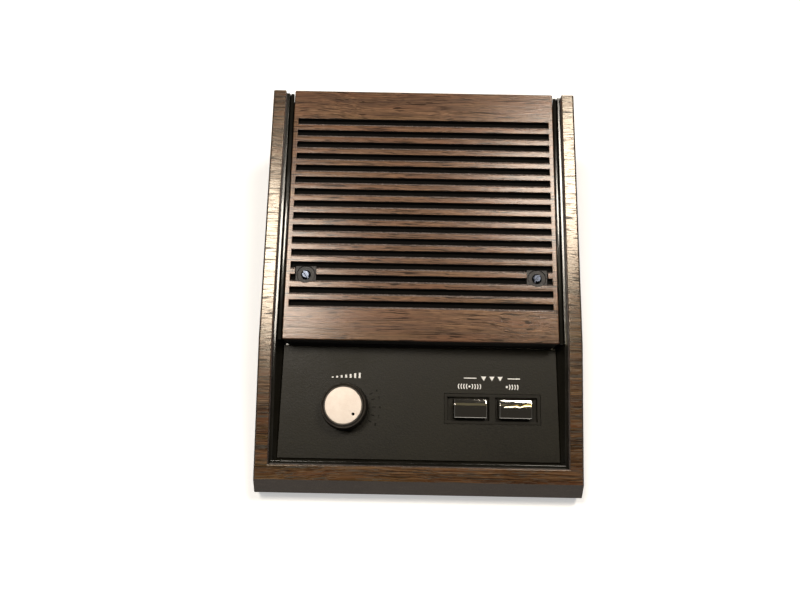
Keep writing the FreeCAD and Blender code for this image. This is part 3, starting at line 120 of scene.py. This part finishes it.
class Graph:
    """A material's node graph, built one node at a time."""

    def __init__(self, name):
        self.material = bpy.data.materials.new(name)
        self.material.use_nodes = True
        self.tree = self.material.node_tree
        self.shader = self.tree.nodes["Principled BSDF"]

    def node(self, kind, **settings):
        made = self.tree.nodes.new("ShaderNode" + kind)
        for key, value in settings.items():
            setattr(made, key, value)
        return made

    def feed(self, socket, value):
        if isinstance(value, bpy.types.NodeSocket):
            self.tree.links.new(value, socket)
        else:
            socket.default_value = value

    def place(self, stretch=(1, 1, 1), turn=0.0, shift=(0, 0, 0)):
        """Object coordinates turned about X and then stretched."""
        source = self.node("TexCoord").outputs["Object"]
        turned = self.node("Mapping")
        turned.inputs["Rotation"].default_value = (turn, 0, 0)
        turned.inputs["Location"].default_value = shift
        self.feed(turned.inputs["Vector"], source)
        scaled = self.node("VectorMath", operation="MULTIPLY")
        self.feed(scaled.inputs[0], turned.outputs["Vector"])
        scaled.inputs[1].default_value = stretch
        return scaled.outputs["Vector"]

    def noise(self, vector, scale=1.0, detail=3.0, roughness=0.5, distortion=0.0):
        made = self.node("TexNoise")
        self.feed(made.inputs["Vector"], vector)
        made.inputs["Scale"].default_value = scale
        made.inputs["Detail"].default_value = detail
        made.inputs["Roughness"].default_value = roughness
        made.inputs["Distortion"].default_value = distortion
        return made.outputs["Fac"]

    def ramp(self, value, stops):
        made = self.node("ValToRGB")
        self.feed(made.inputs["Fac"], value)
        elements = made.color_ramp.elements
        while len(elements) < len(stops):
            elements.new(0.5)
        for element, (position, colour) in zip(elements, stops):
            element.position = position
            element.color = (*colour, 1.0)
        return made.outputs["Color"]

    def span(self, value, low, high, start=0.0, end=1.0):
        """value from low to high becomes start to end, and no further."""
        made = self.node("MapRange")
        self.feed(made.inputs["Value"], value)
        made.inputs["From Min"].default_value = low
        made.inputs["From Max"].default_value = high
        made.inputs["To Min"].default_value = start
        made.inputs["To Max"].default_value = end
        return made.outputs["Result"]

    def math(self, operation, first, second=0.0):
        made = self.node("Math", operation=operation)
        self.feed(made.inputs[0], first)
        self.feed(made.inputs[1], second)
        return made.outputs["Value"]

    def vector(self, operation, first, second=(0, 0, 0)):
        made = self.node("VectorMath", operation=operation)
        self.feed(made.inputs[0], first)
        self.feed(made.inputs[1], second)
        return made.outputs["Value" if operation in ("LENGTH", "DOT_PRODUCT") else "Vector"]

    def mix(self, share, first, second, blend="MIX"):
        made = self.node("Mix", data_type="RGBA", blend_type=blend)
        self.feed(made.inputs["Factor"], share)
        self.feed(made.inputs["A"], first if not isinstance(first, tuple) else (*first, 1.0))
        self.feed(made.inputs["B"], second if not isinstance(second, tuple) else (*second, 1.0))
        return made.outputs["Result"]

    def bump(self, height, distance, under=None):
        made = self.node("Bump")
        self.feed(made.inputs["Height"], height)
        made.inputs["Distance"].default_value = distance
        made.inputs["Strength"].default_value = 1.0
        if under is not None:
            self.feed(made.inputs["Normal"], under)
        return made.outputs["Normal"]

    def finish(self, colour=None, roughness=None, normal=None, metallic=0.0, **uniform):
        if colour is not None:
            self.feed(self.shader.inputs["Base Color"], (*colour, 1.0) if isinstance(colour, tuple) else colour)
        if roughness is not None:
            self.feed(self.shader.inputs["Roughness"], roughness)
        if normal is not None:
            self.feed(self.shader.inputs["Normal"], normal)
        self.shader.inputs["Metallic"].default_value = metallic
        for key, value in uniform.items():
            self.shader.inputs[key.replace("_", " ")].default_value = value
        return self.material


def wood_foil(name, smooth, dull, shine, tint, coat, relief):
    """Printed walnut under a film: long fibres across the object, thin dark pore lines, soft figure."""
    g = Graph(name)
    sway = g.noise(g.place((14, 14, 14), -TILT), detail=1.5)
    sway = g.math("MULTIPLY", g.math("SUBTRACT", sway, 0.5), 0.009)
    offset = g.node("CombineXYZ")
    g.feed(offset.inputs["Y"], sway)
    g.feed(offset.inputs["Z"], sway)
    grain = g.vector("ADD", g.place((1, 1, 1), -TILT), offset.outputs["Vector"])
    figure = g.noise(g.vector("MULTIPLY", grain, (7, 130, 130)), detail=2, roughness=0.5)
    fibre = g.noise(g.vector("MULTIPLY", grain, (26, 1050, 1050)), detail=2, roughness=0.6)
    hair = g.noise(g.vector("MULTIPLY", grain, (85, 2700, 2700)), detail=2, roughness=0.7)
    tone = g.math("ADD", g.math("MULTIPLY", figure, 0.24), g.math("MULTIPLY", fibre, 0.42))
    tone = g.math("ADD", tone, g.math("MULTIPLY", hair, 0.34))
    colour = g.ramp(tone, [
        (0.39, (0.009, 0.004, 0.002)),
        (0.45, (0.030, 0.014, 0.006)),
        (0.50, (0.066, 0.032, 0.013)),
        (0.55, (0.105, 0.054, 0.024)),
        (0.63, (0.210, 0.120, 0.060)),
    ])
    reddish = g.noise(g.vector("MULTIPLY", grain, (12, 210, 210)), detail=2)
    colour = g.mix(g.span(reddish, 0.50, 0.66, 0.0, 0.45), colour, (0.125, 0.043, 0.016))
    olive = g.noise(g.vector("MULTIPLY", grain, (10, 170, 170)), detail=2)
    colour = g.mix(g.span(olive, 0.54, 0.70, 0.0, 0.35), colour, (0.080, 0.052, 0.012))
    long_pores = g.noise(g.vector("MULTIPLY", grain, (42, 1350, 1350)), detail=0, roughness=0.3)
    short_pores = g.noise(g.vector("MULTIPLY", grain, (130, 2500, 2500)), detail=0, roughness=0.3)
    pore_depth = g.math("MAXIMUM", g.span(long_pores, 0.650, 0.70), g.span(short_pores, 0.66, 0.72, 0.0, 0.8))
    colour = g.mix(g.math("MULTIPLY", pore_depth, 0.90), colour, (0.005, 0.003, 0.001))
    height = g.math("ADD", g.math("MULTIPLY", fibre, 0.6), g.math("MULTIPLY", hair, 0.5))
    sunk = g.math("SUBTRACT", height, g.math("MULTIPLY", pore_depth, 0.35))
    rough = g.math("ADD", g.span(fibre, 0.3, 0.7, smooth, dull), g.math("MULTIPLY", pore_depth, 0.5))
    made = g.finish(colour, rough, g.bump(sunk, relief), Coat_Weight=coat, Coat_Roughness=0.17, Coat_IOR=1.74,
                    Specular_IOR_Level=shine, Specular_Tint=(*tint, 1.0), IOR=1.6)
    g.feed(g.shader.inputs["Coat Normal"], g.bump(height, relief * 0.8))
    return made


def moulded(name, colour, pale, roughness, grain=0.00003, size=2200, shine=0.38):
    """Moulded plastic with a fine pebbled texture and a slow change of tone."""
    g = Graph(name)
    pebble = g.noise(g.place((size, size, size)), detail=2, roughness=0.6)
    cloud = g.noise(g.place((30, 30, 30)), detail=3, roughness=0.6)
    tone = g.mix(g.span(cloud, 0.35, 0.65), colour, pale)
    tone = g.mix(g.span(pebble, 0.45, 0.70, 0.0, 0.5), tone, tuple(c * 1.9 for c in pale))
    scuff = g.noise(g.place((90, 420, 420), -TILT), detail=4, roughness=0.7)
    tone = g.mix(g.span(scuff, 0.60, 0.8, 0.0, 0.45), tone, tuple(min(1.0, c * 2.2) for c in pale))
    rough = g.span(g.math("ADD", g.math("MULTIPLY", pebble, 0.5), g.math("MULTIPLY", cloud, 0.5)),
                   0.35, 0.65, roughness - 0.06, roughness + 0.08)
    return g.finish(tone, rough, g.bump(pebble, grain), Specular_IOR_Level=shine)


def speckled(name, dark, pale, speck, share):
    """Bare moulded plastic with pale flecks. On the bars' bevels and the frame's edges the pale tone and the flecks
    are painted highlight; on the screw pads they are the plastic's own flecks; on the knob they give lighter grey
    rings.
    """
    g = Graph(name)
    fleck = g.noise(g.place((900, 1900, 1900), -TILT), detail=2, roughness=0.7)
    cloud = g.noise(g.place((70, 260, 260), -TILT), detail=2)
    tone = g.mix(g.span(cloud, 0.35, 0.65), dark, pale)
    tone = g.mix(g.span(fleck, 0.52, 0.68, 0.0, share), tone, speck)
    rough = g.span(cloud, 0.3, 0.7, 0.42, 0.60)
    return g.finish(tone, rough, g.bump(fleck, 0.00009), Specular_IOR_Level=0.4)


def gloss_black():
    """Polished black plastic, a little uneven."""
    g = Graph("gloss_black")
    cloud = g.noise(g.place((60, 60, 60)), detail=3)
    colour = g.mix(g.span(cloud, 0.35, 0.65), (0.0050, 0.0046, 0.0030), (0.0100, 0.0090, 0.0060))
    haze = g.noise(g.place((180, 60, 60), -TILT), detail=2)
    rough = g.span(haze, 0.3, 0.7, 0.15, 0.21)
    ripple = g.noise(g.place((45, 45, 45)), detail=1)
    return g.finish(colour, rough, g.bump(ripple, 0.0001), IOR=1.85)


def chrome():
    """Bright plated plastic, gently uneven, with fine rubbing on top."""
    g = Graph("chrome_plate")
    ripple = g.noise(g.place((160, 160, 160)), detail=1)
    rub = g.noise(g.place((260, 2600, 2600), -TILT), detail=3, roughness=0.7)
    rough = g.span(rub, 0.45, 0.8, 0.035, 0.11)
    return g.finish((0.88, 0.85, 0.79), rough, g.bump(ripple, 0.00006), metallic=1.0)


def spun_metal():
    """A turned satin disc: fine rings about the knob's axis. Its pale warm colour on a barely metallic surface is
    painted reflection, standing in for the metal's sheen.
    """
    g = Graph("spun_cap_painted_sheen")
    source = g.node("TexCoord").outputs["Object"]
    arm = g.vector("SUBTRACT", source, tuple(KNOB_CENTRE))
    radius = g.vector("LENGTH", g.vector("CROSS_PRODUCT", arm, tuple(KNOB_AXIS)))
    line = g.node("CombineXYZ")
    g.feed(line.inputs["X"], g.math("MULTIPLY", radius, 5200.0))
    rings = g.noise(line.outputs["Vector"], detail=4, roughness=0.8)
    cloud = g.noise(g.place((220, 220, 220)), detail=3, roughness=0.6)
    # Painted reflection: these pale warm tones stand in for the satin metal's sheen.
    colour = g.mix(g.span(cloud, 0.35, 0.68), (0.86, 0.76, 0.68), (0.92, 0.83, 0.75))
    speck = g.noise(g.place((2600, 2600, 2600)), detail=1)
    colour = g.mix(g.span(speck, 0.68, 0.76, 0.0, 0.35), colour, (0.42, 0.33, 0.25))
    colour = g.mix(g.span(rings, 0.42, 0.62, 0.0, 0.22), colour, (0.70, 0.58, 0.48))
    rough = g.span(rings, 0.3, 0.7, 0.42, 0.60)
    return g.finish(colour, rough, g.bump(rings, 0.000010), metallic=0.18)


def plain_metal(name, colour, roughness, brush=(1800, 1800, 120)):
    """Drawn or plated metal with fine marks and dull patches."""
    g = Graph(name)
    marks = g.noise(g.place(brush), detail=3, roughness=0.7)
    dull = g.noise(g.place((260, 260, 260)), detail=3)
    tone = g.mix(g.span(dull, 0.4, 0.7), colour, tuple(c * 0.72 for c in colour))
    rough = g.span(marks, 0.3, 0.75, roughness - 0.08, roughness + 0.12)
    return g.finish(tone, rough, g.bump(marks, 0.00001), metallic=1.0)


def dull_stuff(name, colour, pale, roughness, scale, depth):
    """Paper, cloth, ferrite or board: a grainy dull surface."""
    g = Graph(name)
    weave = g.noise(g.place((scale, scale, scale)), detail=3, roughness=0.7)
    cloud = g.noise(g.place((40, 40, 40)), detail=2)
    tone = g.mix(g.span(g.math("MULTIPLY", g.math("ADD", weave, cloud), 0.5), 0.4, 0.6), colour, pale)
    return g.finish(tone, roughness, g.bump(weave, depth))


def speaker_cloth():
    """Open black cloth behind the slots: crossed threads."""
    g = Graph("speaker_cloth")
    threads = []
    for direction in ("X", "Y"):
        wave = g.node("TexWave", wave_type="BANDS", bands_direction=direction)
        g.feed(wave.inputs["Vector"], g.place((1, 1, 1), -TILT))
        wave.inputs["Scale"].default_value = THREAD_SCALE
        threads.append(wave.outputs["Fac"])
    weave = g.math("MAXIMUM", threads[0], threads[1])
    colour = g.mix(weave, (0.0008, 0.0007, 0.0006), (0.0050, 0.0044, 0.0038))
    return g.finish(colour, 0.9, g.bump(weave, 0.0001), Specular_IOR_Level=0.15)


MATERIALS = {
    "wood": wood_foil("walnut_foil", 0.32, 0.48, 0.5, (1.0, 0.63, 0.46), 0.42, 0.00007),
    "rail": wood_foil("walnut_rail", 0.19, 0.27, 0.85, (1.0, 0.90, 0.77), 0.10, 0.00002),
    "housing": moulded("charcoal_plastic", (0.026, 0.020, 0.017), (0.040, 0.032, 0.027), 0.50, 0.00005, 1500),
    "panel": moulded("panel_charcoal", (0.0046, 0.0038, 0.0012), (0.0085, 0.0073, 0.0030), 0.47, 0.00010, 900, 0.27),
    # The edge material: dark bare plastic made pale and flecked as painted highlight, for the bevels and edges that
    # catch the lamps.
    "edge": speckled("edge_painted_highlight", (0.070, 0.056, 0.050), (0.160, 0.126, 0.112), (0.560, 0.460, 0.420), 0.80),
    # Lighter grey rings on the knob's outward faces.
    "grey_ring": speckled("grey_knob_rim", (0.030, 0.026, 0.021), (0.060, 0.050, 0.040), (0.120, 0.100, 0.080), 0.4),
    "pad": speckled("screw_pad", (0.012, 0.011, 0.011), (0.034, 0.031, 0.031), (0.160, 0.150, 0.152), 0.55),
    "slot": moulded("slot_wall", (0.0030, 0.0024, 0.0018), (0.0055, 0.0046, 0.0036), 0.60, 0.00001, 2600),
    "dark": moulded("black_plastic", (0.0050, 0.0044, 0.0034), (0.0095, 0.0084, 0.0068), 0.36, 0.00001, 2600),
    "bezel": moulded("bezel_black", (0.0045, 0.0038, 0.0014), (0.0075, 0.0064, 0.0030), 0.50, 0.00003, 1800, 0.24),
    "gloss": gloss_black(),
    "chrome": chrome(),
    "cap": spun_metal(),
    "screw": plain_metal("screw_steel", (0.060, 0.070, 0.095), 0.24),
    "steel": plain_metal("zinc_steel", (0.52, 0.53, 0.54), 0.34),
    "brass": plain_metal("brass", (0.62, 0.45, 0.20), 0.32),
    "tinned": plain_metal("tinned", (0.62, 0.62, 0.60), 0.38),
    "rubber": dull_stuff("rubber", (0.012, 0.012, 0.012), (0.022, 0.021, 0.020), 0.72, 1600, 0.00005),
    "board": dull_stuff("board", (0.16, 0.085, 0.030), (0.22, 0.125, 0.050), 0.55, 900, 0.00003),
    "paper": dull_stuff("paper", (0.020, 0.018, 0.016), (0.040, 0.036, 0.032), 0.85, 1400, 0.00008),
    "ferrite": dull_stuff("ferrite", (0.020, 0.020, 0.021), (0.040, 0.040, 0.042), 0.60, 1100, 0.00004),
    "cloth": speaker_cloth(),
}


def paint(name, colour, roughness, shine):
    """Printed marks: flat ink with a slightly uneven edge tone."""
    g = Graph(name)
    worn = g.noise(g.place((2400, 2400, 2400)), detail=2)
    tone = g.mix(g.span(worn, 0.35, 0.75, 0.0, 0.30), colour, tuple(c * 0.7 for c in colour))
    return g.finish(tone, roughness, Specular_IOR_Level=shine)


WHITE_INK = paint("white_ink", (0.92, 0.92, 0.90), 0.45, 0.5)
BLACK_INK = paint("black_ink", (0.0012, 0.0011, 0.0008), 0.80, 0.05)


# Finished copies of the CAD nodes, with softened edges

def refined(node, body, edge, materials, choose=None, segments=2):
    """A copy of a CAD node whose corners are rounded by edge, standing for the node."""
    mesh = bpy.data.meshes.new(node + "_finish")
    shape = bmesh.new()
    shape.from_mesh(frame["nodes"][node].data)
    bmesh.ops.remove_doubles(shape, verts=shape.verts, dist=MERGE_DISTANCE)
    bmesh.ops.dissolve_limit(shape, angle_limit=FLAT_ANGLE, verts=shape.verts, edges=shape.edges)
    sharp = []
    for item in shape.edges:
        if len(item.link_faces) == 2 and item.calc_face_angle() > BEVEL_ANGLE:
            sharp.append(item)
    if edge:
        bmesh.ops.bevel(shape, geom=sharp, offset=edge * MM, offset_type="OFFSET", segments=segments,
                        profile=0.5, affect="EDGES", clamp_overlap=False)
    bmesh.ops.triangulate(shape, faces=[face for face in shape.faces if len(face.verts) > 4])
    for face in shape.faces:
        face.smooth = True
        if choose:
            face.material_index = choose(face)
    shape.to_mesh(mesh)
    shape.free()
    mesh.set_sharp_from_angle(angle=SHARP_ANGLE)
    piece = bpy.data.objects.new(node + "_finish", mesh)
    bpy.context.scene.collection.objects.link(piece)
    weighted = piece.modifiers.new("weighted", "WEIGHTED_NORMAL")
    weighted.keep_sharp = True
    weighted.weight = NORMAL_WEIGHT
    for name in materials:
        mesh.materials.append(MATERIALS[name])
    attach(piece, body)
    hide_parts(node)


def grille_side(face):
    """Wood on the front, bare plastic lightened with painted highlight on the bars' upper bevels, bare plastic on
    the screw pads and in the slots.
    """
    out = face.normal.dot(KNOB_AXIS)
    up = -face.normal.dot(DOWN_FACE)
    sunk = FACE_LIFT - (face.calc_center_median() - KNOB_CENTRE).dot(KNOB_AXIS) / MM
    if sunk > PAD_SUNK:
        return 3 if out > FRONT_FACING else 2
    if out < FRONT_FACING:
        return 2
    return 0 if up < FRONT_FACING else 1


def knob_rings(face):
    """The knob's rim beside the cap and its shoulder, where they face outward, are a lighter grey; the rest is
    black.
    """
    arm = face.calc_center_median() - KNOB_CENTRE
    radius = arm.cross(KNOB_AXIS).length / MM
    out = face.normal.dot(KNOB_AXIS)
    if out > 0.35 and (radius < CAP_RIM or SHOULDER_RING[0] < radius < SHOULDER_RING[1]):
        return 1
    return 0


# Faces of the frame that do not face the front take the edge material, whose pale tone is painted highlight.
def front_only(face):
    return 0 if face.normal.dot(KNOB_AXIS) > 0.5 else 1


refined("grille", "case", 0.34, ["wood", "edge", "slot", "pad"], grille_side, segments=3)
refined("trim_frame", "case", 0.18, ["rail", "edge"], front_only)
refined("housing", "case", 0.25, ["housing"])
refined("tray", "case", 0.25, ["gloss"])
refined("control_panel", "case", 0.12, ["panel"])
refined("button_bezel", "case", 0.15, ["bezel"])
refined("button_left", "left_bar", 0.22, ["chrome"], segments=3)
refined("button_right", "right_bar", 0.22, ["chrome"], segments=3)
refined("volume_knob", "volume_control", 0.15, ["dark", "grey_ring"], knob_rings, segments=3)
refined("knob_cap", "volume_control", 0.08, ["cap"])
refined("front_screws", "case", 0.12, ["screw"])
refined("base_cover", "case", 0.30, ["dark"])
refined("base_screws", "case", 0.12, ["steel"])
refined("rubber_feet", "case", 0.30, ["rubber"])
refined("cable_grommet", "case", 0.20, ["rubber"])


def side_rib(name, side):
    """The black rib between the grille and the tray's ledge, level with the ledge."""
    top = LEDGE_LIFT
    outline = [(90.95, top - 0.28), (91.02, top - 0.07), (91.2, top), (92.95, top), (93.12, top - 0.07),
               (93.2, top - 0.28), (93.2, RIB_FOOT), (90.95, RIB_FOOT)]
    shape = bmesh.new()
    rings = []
    for s in (RIB_START, RIB_END):
        rings.append([shape.verts.new(on_panel(side * x, s, lift)) for x, lift in outline])
    shape.faces.new(rings[0])
    shape.faces.new(rings[1])
    for index in range(len(outline)):
        after = (index + 1) % len(outline)
        shape.faces.new([rings[0][index], rings[0][after], rings[1][after], rings[1][index]])
    bmesh.ops.recalc_face_normals(shape, faces=shape.faces)
    ends = [item for item in shape.edges if item.calc_face_angle() > math.radians(60)]
    bmesh.ops.bevel(shape, geom=ends, offset=0.2 * MM, segments=2, profile=0.5, affect="EDGES")
    for face in shape.faces:
        face.smooth = True
    mesh = bpy.data.meshes.new(name)
    shape.to_mesh(mesh)
    shape.free()
    mesh.set_sharp_from_angle(angle=SHARP_ANGLE)
    mesh.materials.append(MATERIALS["gloss"])
    piece = bpy.data.objects.new(name, mesh)
    bpy.context.scene.collection.objects.link(piece)
    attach(piece, "case")


side_rib("rib_left", -1)
side_rib("rib_right", 1)

DRESS = {
    "steel": ["tray_screws", "board_screws", "speaker_screws", "strip_screws", "button_spring_left",
              "button_spring_right", "pot_shaft", "pot_washer", "pot_nut", "pot_body",
              "speaker_basket", "speaker_top_plate", "speaker_yoke"],
    "brass": ["pot_bushing", "terminal_screws"],
    "tinned": ["pot_lugs", "switch_lugs", "speaker_voice_coil"],
    "dark": ["switch_left", "switch_right", "speaker_spacers", "terminal_strip"],
    "board": ["switch_board"],
    "paper": ["speaker_cone", "speaker_dust_cap", "speaker_surround", "speaker_gasket", "speaker_spider"],
    "ferrite": ["speaker_magnet"],
    "cloth": ["speaker_cloth"],
}
for name, nodes in DRESS.items():
    for node in nodes:
        data = frame["nodes"][node].data
        data.materials.clear()
        data.materials.append(MATERIALS[name])


# Printed marks on the panel

MARK_LIFT = 0.03
MARK_THICKNESS = 0.05


def flat_piece(name, outlines, body, ink, lift=MARK_LIFT):
    """Flat printed shapes, each a list of (x, s) corners in millimetres on the face."""
    shape = bmesh.new()
    for outline in outlines:
        corners = [shape.verts.new(on_panel(x, s, lift)) for x, s in outline]
        shape.faces.new(corners)
    bmesh.ops.recalc_face_normals(shape, faces=shape.faces)
    solid = bmesh.ops.extrude_face_region(shape, geom=shape.faces[:])
    moved = [item for item in solid["geom"] if isinstance(item, bmesh.types.BMVert)]
    bmesh.ops.translate(shape, verts=moved, vec=-KNOB_AXIS * MARK_THICKNESS * MM)
    bmesh.ops.recalc_face_normals(shape, faces=shape.faces)
    mesh = bpy.data.meshes.new(name)
    shape.to_mesh(mesh)
    shape.free()
    mesh.materials.append(ink)
    piece = bpy.data.objects.new(name, mesh)
    bpy.context.scene.collection.objects.link(piece)
    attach(piece, body)


def bar(x, s, width, height):
    return [(x - width / 2, s - height / 2), (x + width / 2, s - height / 2),
            (x + width / 2, s + height / 2), (x - width / 2, s + height / 2)]


def stroke(points, width):
    """A band of even width along a line of points."""
    left = []
    right = []
    for index, (x, s) in enumerate(points):
        before = points[max(index - 1, 0)]
        after = points[min(index + 1, len(points) - 1)]
        run = Vector((after[0] - before[0], after[1] - before[1])).normalized()
        side = Vector((-run.y, run.x)) * width / 2
        left.append((x + side.x, s + side.y))
        right.append((x - side.x, s - side.y))
    return left + right[::-1]


def round_dot(x, s, radius, steps=24):
    turn = 2 * math.pi / steps
    return [(x + radius * math.cos(i * turn), s + radius * math.sin(i * turn)) for i in range(steps)]


def curved(x, s, reach, radius, spread, width, side):
    """A bracket-like arc whose middle lies reach from x, on the right for side 1."""
    points = []
    for index in range(13):
        angle = math.radians(spread * (index / 6 - 1))
        points.append((x + side * (reach - radius + radius * math.cos(angle)), s + radius * math.sin(angle)))
    return stroke(points, width)


def level_bars():
    """Seven rising bars above the knob."""
    start, end, foot = -57.4, -39.6, 198.6
    bars = []
    for index in range(7):
        height = 0.7 + 2.8 * index / 6
        x = start + (end - start) * index / 6
        bars.append(bar(x, foot - height / 2, 1.25, height))
    return bars


def push_marks():
    """Two dashes with three small arrows between them."""
    marks = [bar(33.45, 197.3, 8.3, 0.62), bar(62.25, 197.3, 8.1, 0.62)]
    for x in (42.4, 47.8, 53.2):
        marks.append([(x - 1.75, 196.1), (x + 1.75, 196.1), (x, 199.0)])
    return marks


def wave_marks(x, s, sides, count):
    """A dot with sound waves beside it."""
    marks = [round_dot(x, s, 0.72)]
    for side in sides:
        for index in range(count):
            marks.append(curved(x, s, 2.1 + 1.75 * index, 2.6, 38, 0.62, side))
    return marks


def dial_ticks():
    marks = []
    for angle in DIAL_ANGLES:
        turn = math.radians(angle)
        way = Vector((math.cos(turn), -math.sin(turn)))
        start = Vector(KNOB_PLACE) + way * TICK_REACH
        marks.append(stroke([tuple(start), tuple(start + way * TICK_LENGTH)], 0.42))
    return marks


flat_piece("mark_level", level_bars(), "case", WHITE_INK)
flat_piece("mark_push", push_marks(), "case", WHITE_INK)
flat_piece("mark_listen", wave_marks(33.0, 202.75, (-1, 1), 4), "case", WHITE_INK)
flat_piece("mark_speak", wave_marks(57.6, 202.75, (1,), 4), "case", WHITE_INK)
flat_piece("mark_dial", dial_ticks(), "case", BLACK_INK)


def numeral(name, text, x, s, size, ink):
    """A plain printed number."""
    curve = bpy.data.curves.new(name, "FONT")
    curve.body = text
    curve.size = size * MM
    curve.align_x = "CENTER"
    curve.align_y = "CENTER"
    curve.extrude = MARK_THICKNESS * MM / 2
    letters = bpy.data.objects.new(name + "_text", curve)
    bpy.context.scene.collection.objects.link(letters)
    bpy.context.view_layer.update()
    mesh = bpy.data.meshes.new_from_object(letters)
    bpy.data.objects.remove(letters)
    mesh.name = name
    mesh.transform(Matrix.Translation(on_panel(x, s, MARK_LIFT)) @ Matrix.Rotation(TILT, 4, "X"))
    mesh.materials.clear()
    mesh.materials.append(ink)
    piece = bpy.data.objects.new(name, mesh)
    bpy.context.scene.collection.objects.link(piece)
    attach(piece, "case")


for index, angle in enumerate(DIAL_ANGLES):
    turn = math.radians(angle)
    number = str(index + DIAL_FIRST)
    numeral("dial_number_" + number, number, KNOB_PLACE[0] + NUMBER_REACH * math.cos(turn),
            KNOB_PLACE[1] - NUMBER_REACH * math.sin(turn), NUMBER_SIZE, BLACK_INK)


def cap_dot():
    """The black index dot, set in the cap's recess."""
    x = KNOB_PLACE[0] + DOT_REACH * math.sin(DOT_ANGLE)
    s = KNOB_PLACE[1] - DOT_REACH * math.cos(DOT_ANGLE)
    flat_piece("cap_index_dot", [round_dot(x, s, DOT_RADIUS, 32)], "volume_control", BLACK_INK, DOT_LIFT)


cap_dot()


# Floor, light and camera

def floor():
    mesh = bpy.data.meshes.new("floor")
    half = FLOOR_HALF
    mesh.from_pydata([(-half, -half, 0), (half, -half, 0), (half, half, 0), (-half, half, 0)], [], [(0, 1, 2, 3)])
    piece = bpy.data.objects.new("floor", mesh)
    bpy.context.scene.collection.objects.link(piece)
    g = Graph("pale_floor")
    cloud = g.noise(g.place((6, 6, 6)), detail=2)
    colour = g.mix(g.span(cloud, 0.3, 0.7), (0.93, 0.93, 0.925), (0.95, 0.95, 0.945))
    seen = g.node("LightPath")
    direct = g.math("ADD", seen.outputs["Is Camera Ray"], seen.outputs["Is Glossy Ray"])
    direct = g.math("ADD", direct, seen.outputs["Is Transmission Ray"])
    glow = g.math("MULTIPLY", direct, FLOOR_GLOW)
    made = g.finish(colour, 0.75, Emission_Color=(1.0, 1.0, 1.0, 1.0), Specular_IOR_Level=0.2)
    g.feed(g.shader.inputs["Emission Strength"], glow)
    mesh.materials.append(made)


def area(name, place, aim, size, power, colour=(1, 1, 1)):
    light = bpy.data.lights.new(name, "AREA")
    light.shape = "RECTANGLE"
    light.size = size[0]
    light.size_y = size[1]
    light.energy = power
    light.color = colour
    lamp = bpy.data.objects.new(name, light)
    lamp.location = place
    lamp.rotation_euler = (Vector(aim) - Vector(place)).to_track_quat("-Z", "Y").to_euler()
    lamp.visible_camera = False
    bpy.context.scene.collection.objects.link(lamp)


def world():
    made = bpy.data.worlds.new("studio")
    bpy.context.scene.world = made
    made.use_nodes = True
    tree = made.node_tree
    back = tree.nodes["Background"]
    way = tree.nodes.new("ShaderNodeTexCoord")
    parts = tree.nodes.new("ShaderNodeSeparateXYZ")
    shade = tree.nodes.new("ShaderNodeValToRGB")
    tree.links.new(way.outputs["Generated"], parts.inputs["Vector"])
    tree.links.new(parts.outputs["Z"], shade.inputs["Fac"])
    tree.links.new(shade.outputs["Color"], back.inputs["Color"])
    elements = shade.color_ramp.elements
    elements[0].position = 0.0
    elements[0].color = (0.34, 0.335, 0.33, 1)
    elements[1].position = 0.72
    elements[1].color = (0.030, 0.027, 0.023, 1)
    back.inputs["Strength"].default_value = 1.0


def camera():
    data = bpy.data.cameras.new("camera")
    data.sensor_width = SENSOR
    data.lens = CAMERA_LENS
    data.dof.use_dof = False
    data.clip_start = 0.01
    data.clip_end = 20.0
    view = bpy.data.objects.new("camera", data)
    view.location = CAMERA_PLACE
    view.rotation_euler = Euler([math.radians(angle) for angle in CAMERA_TURN], "XYZ")
    bpy.context.scene.collection.objects.link(view)
    bpy.context.scene.camera = view


floor()
world()
area("left_lamp", (-0.375, 0.045, 1.235), (-0.05, 0.0, 0.05), (0.33, 0.33), 8.2, (1.0, 0.91, 0.79))
area("right_lamp", (0.400, 0.250, 1.225), (0.05, 0.0, 0.05), (0.33, 0.33), 8.2, (1.0, 0.91, 0.79))
area("gold_strip", (0.29, -0.135, 1.20), (0.06, -0.08, 0.03), (0.22, 0.035), 0.045, (1.0, 0.70, 0.16))
area("dim_strip", (0.150, -0.10, 1.20), (0.03, -0.08, 0.03), (0.15, 0.17), 0.007, (1.0, 0.86, 0.45))
area("front_card", (0.10, -1.25, 0.42), (0.0, -0.1, 0.03), (1.3, 0.30), 1.0, (1.0, 0.96, 0.90))
area("pale_strip", (0.28, -0.195, 1.20), (0.06, -0.08, 0.03), (0.18, 0.012), 0.045, (1.0, 0.93, 0.75))
camera()
bpy.context.scene.view_settings.view_transform = "Standard"
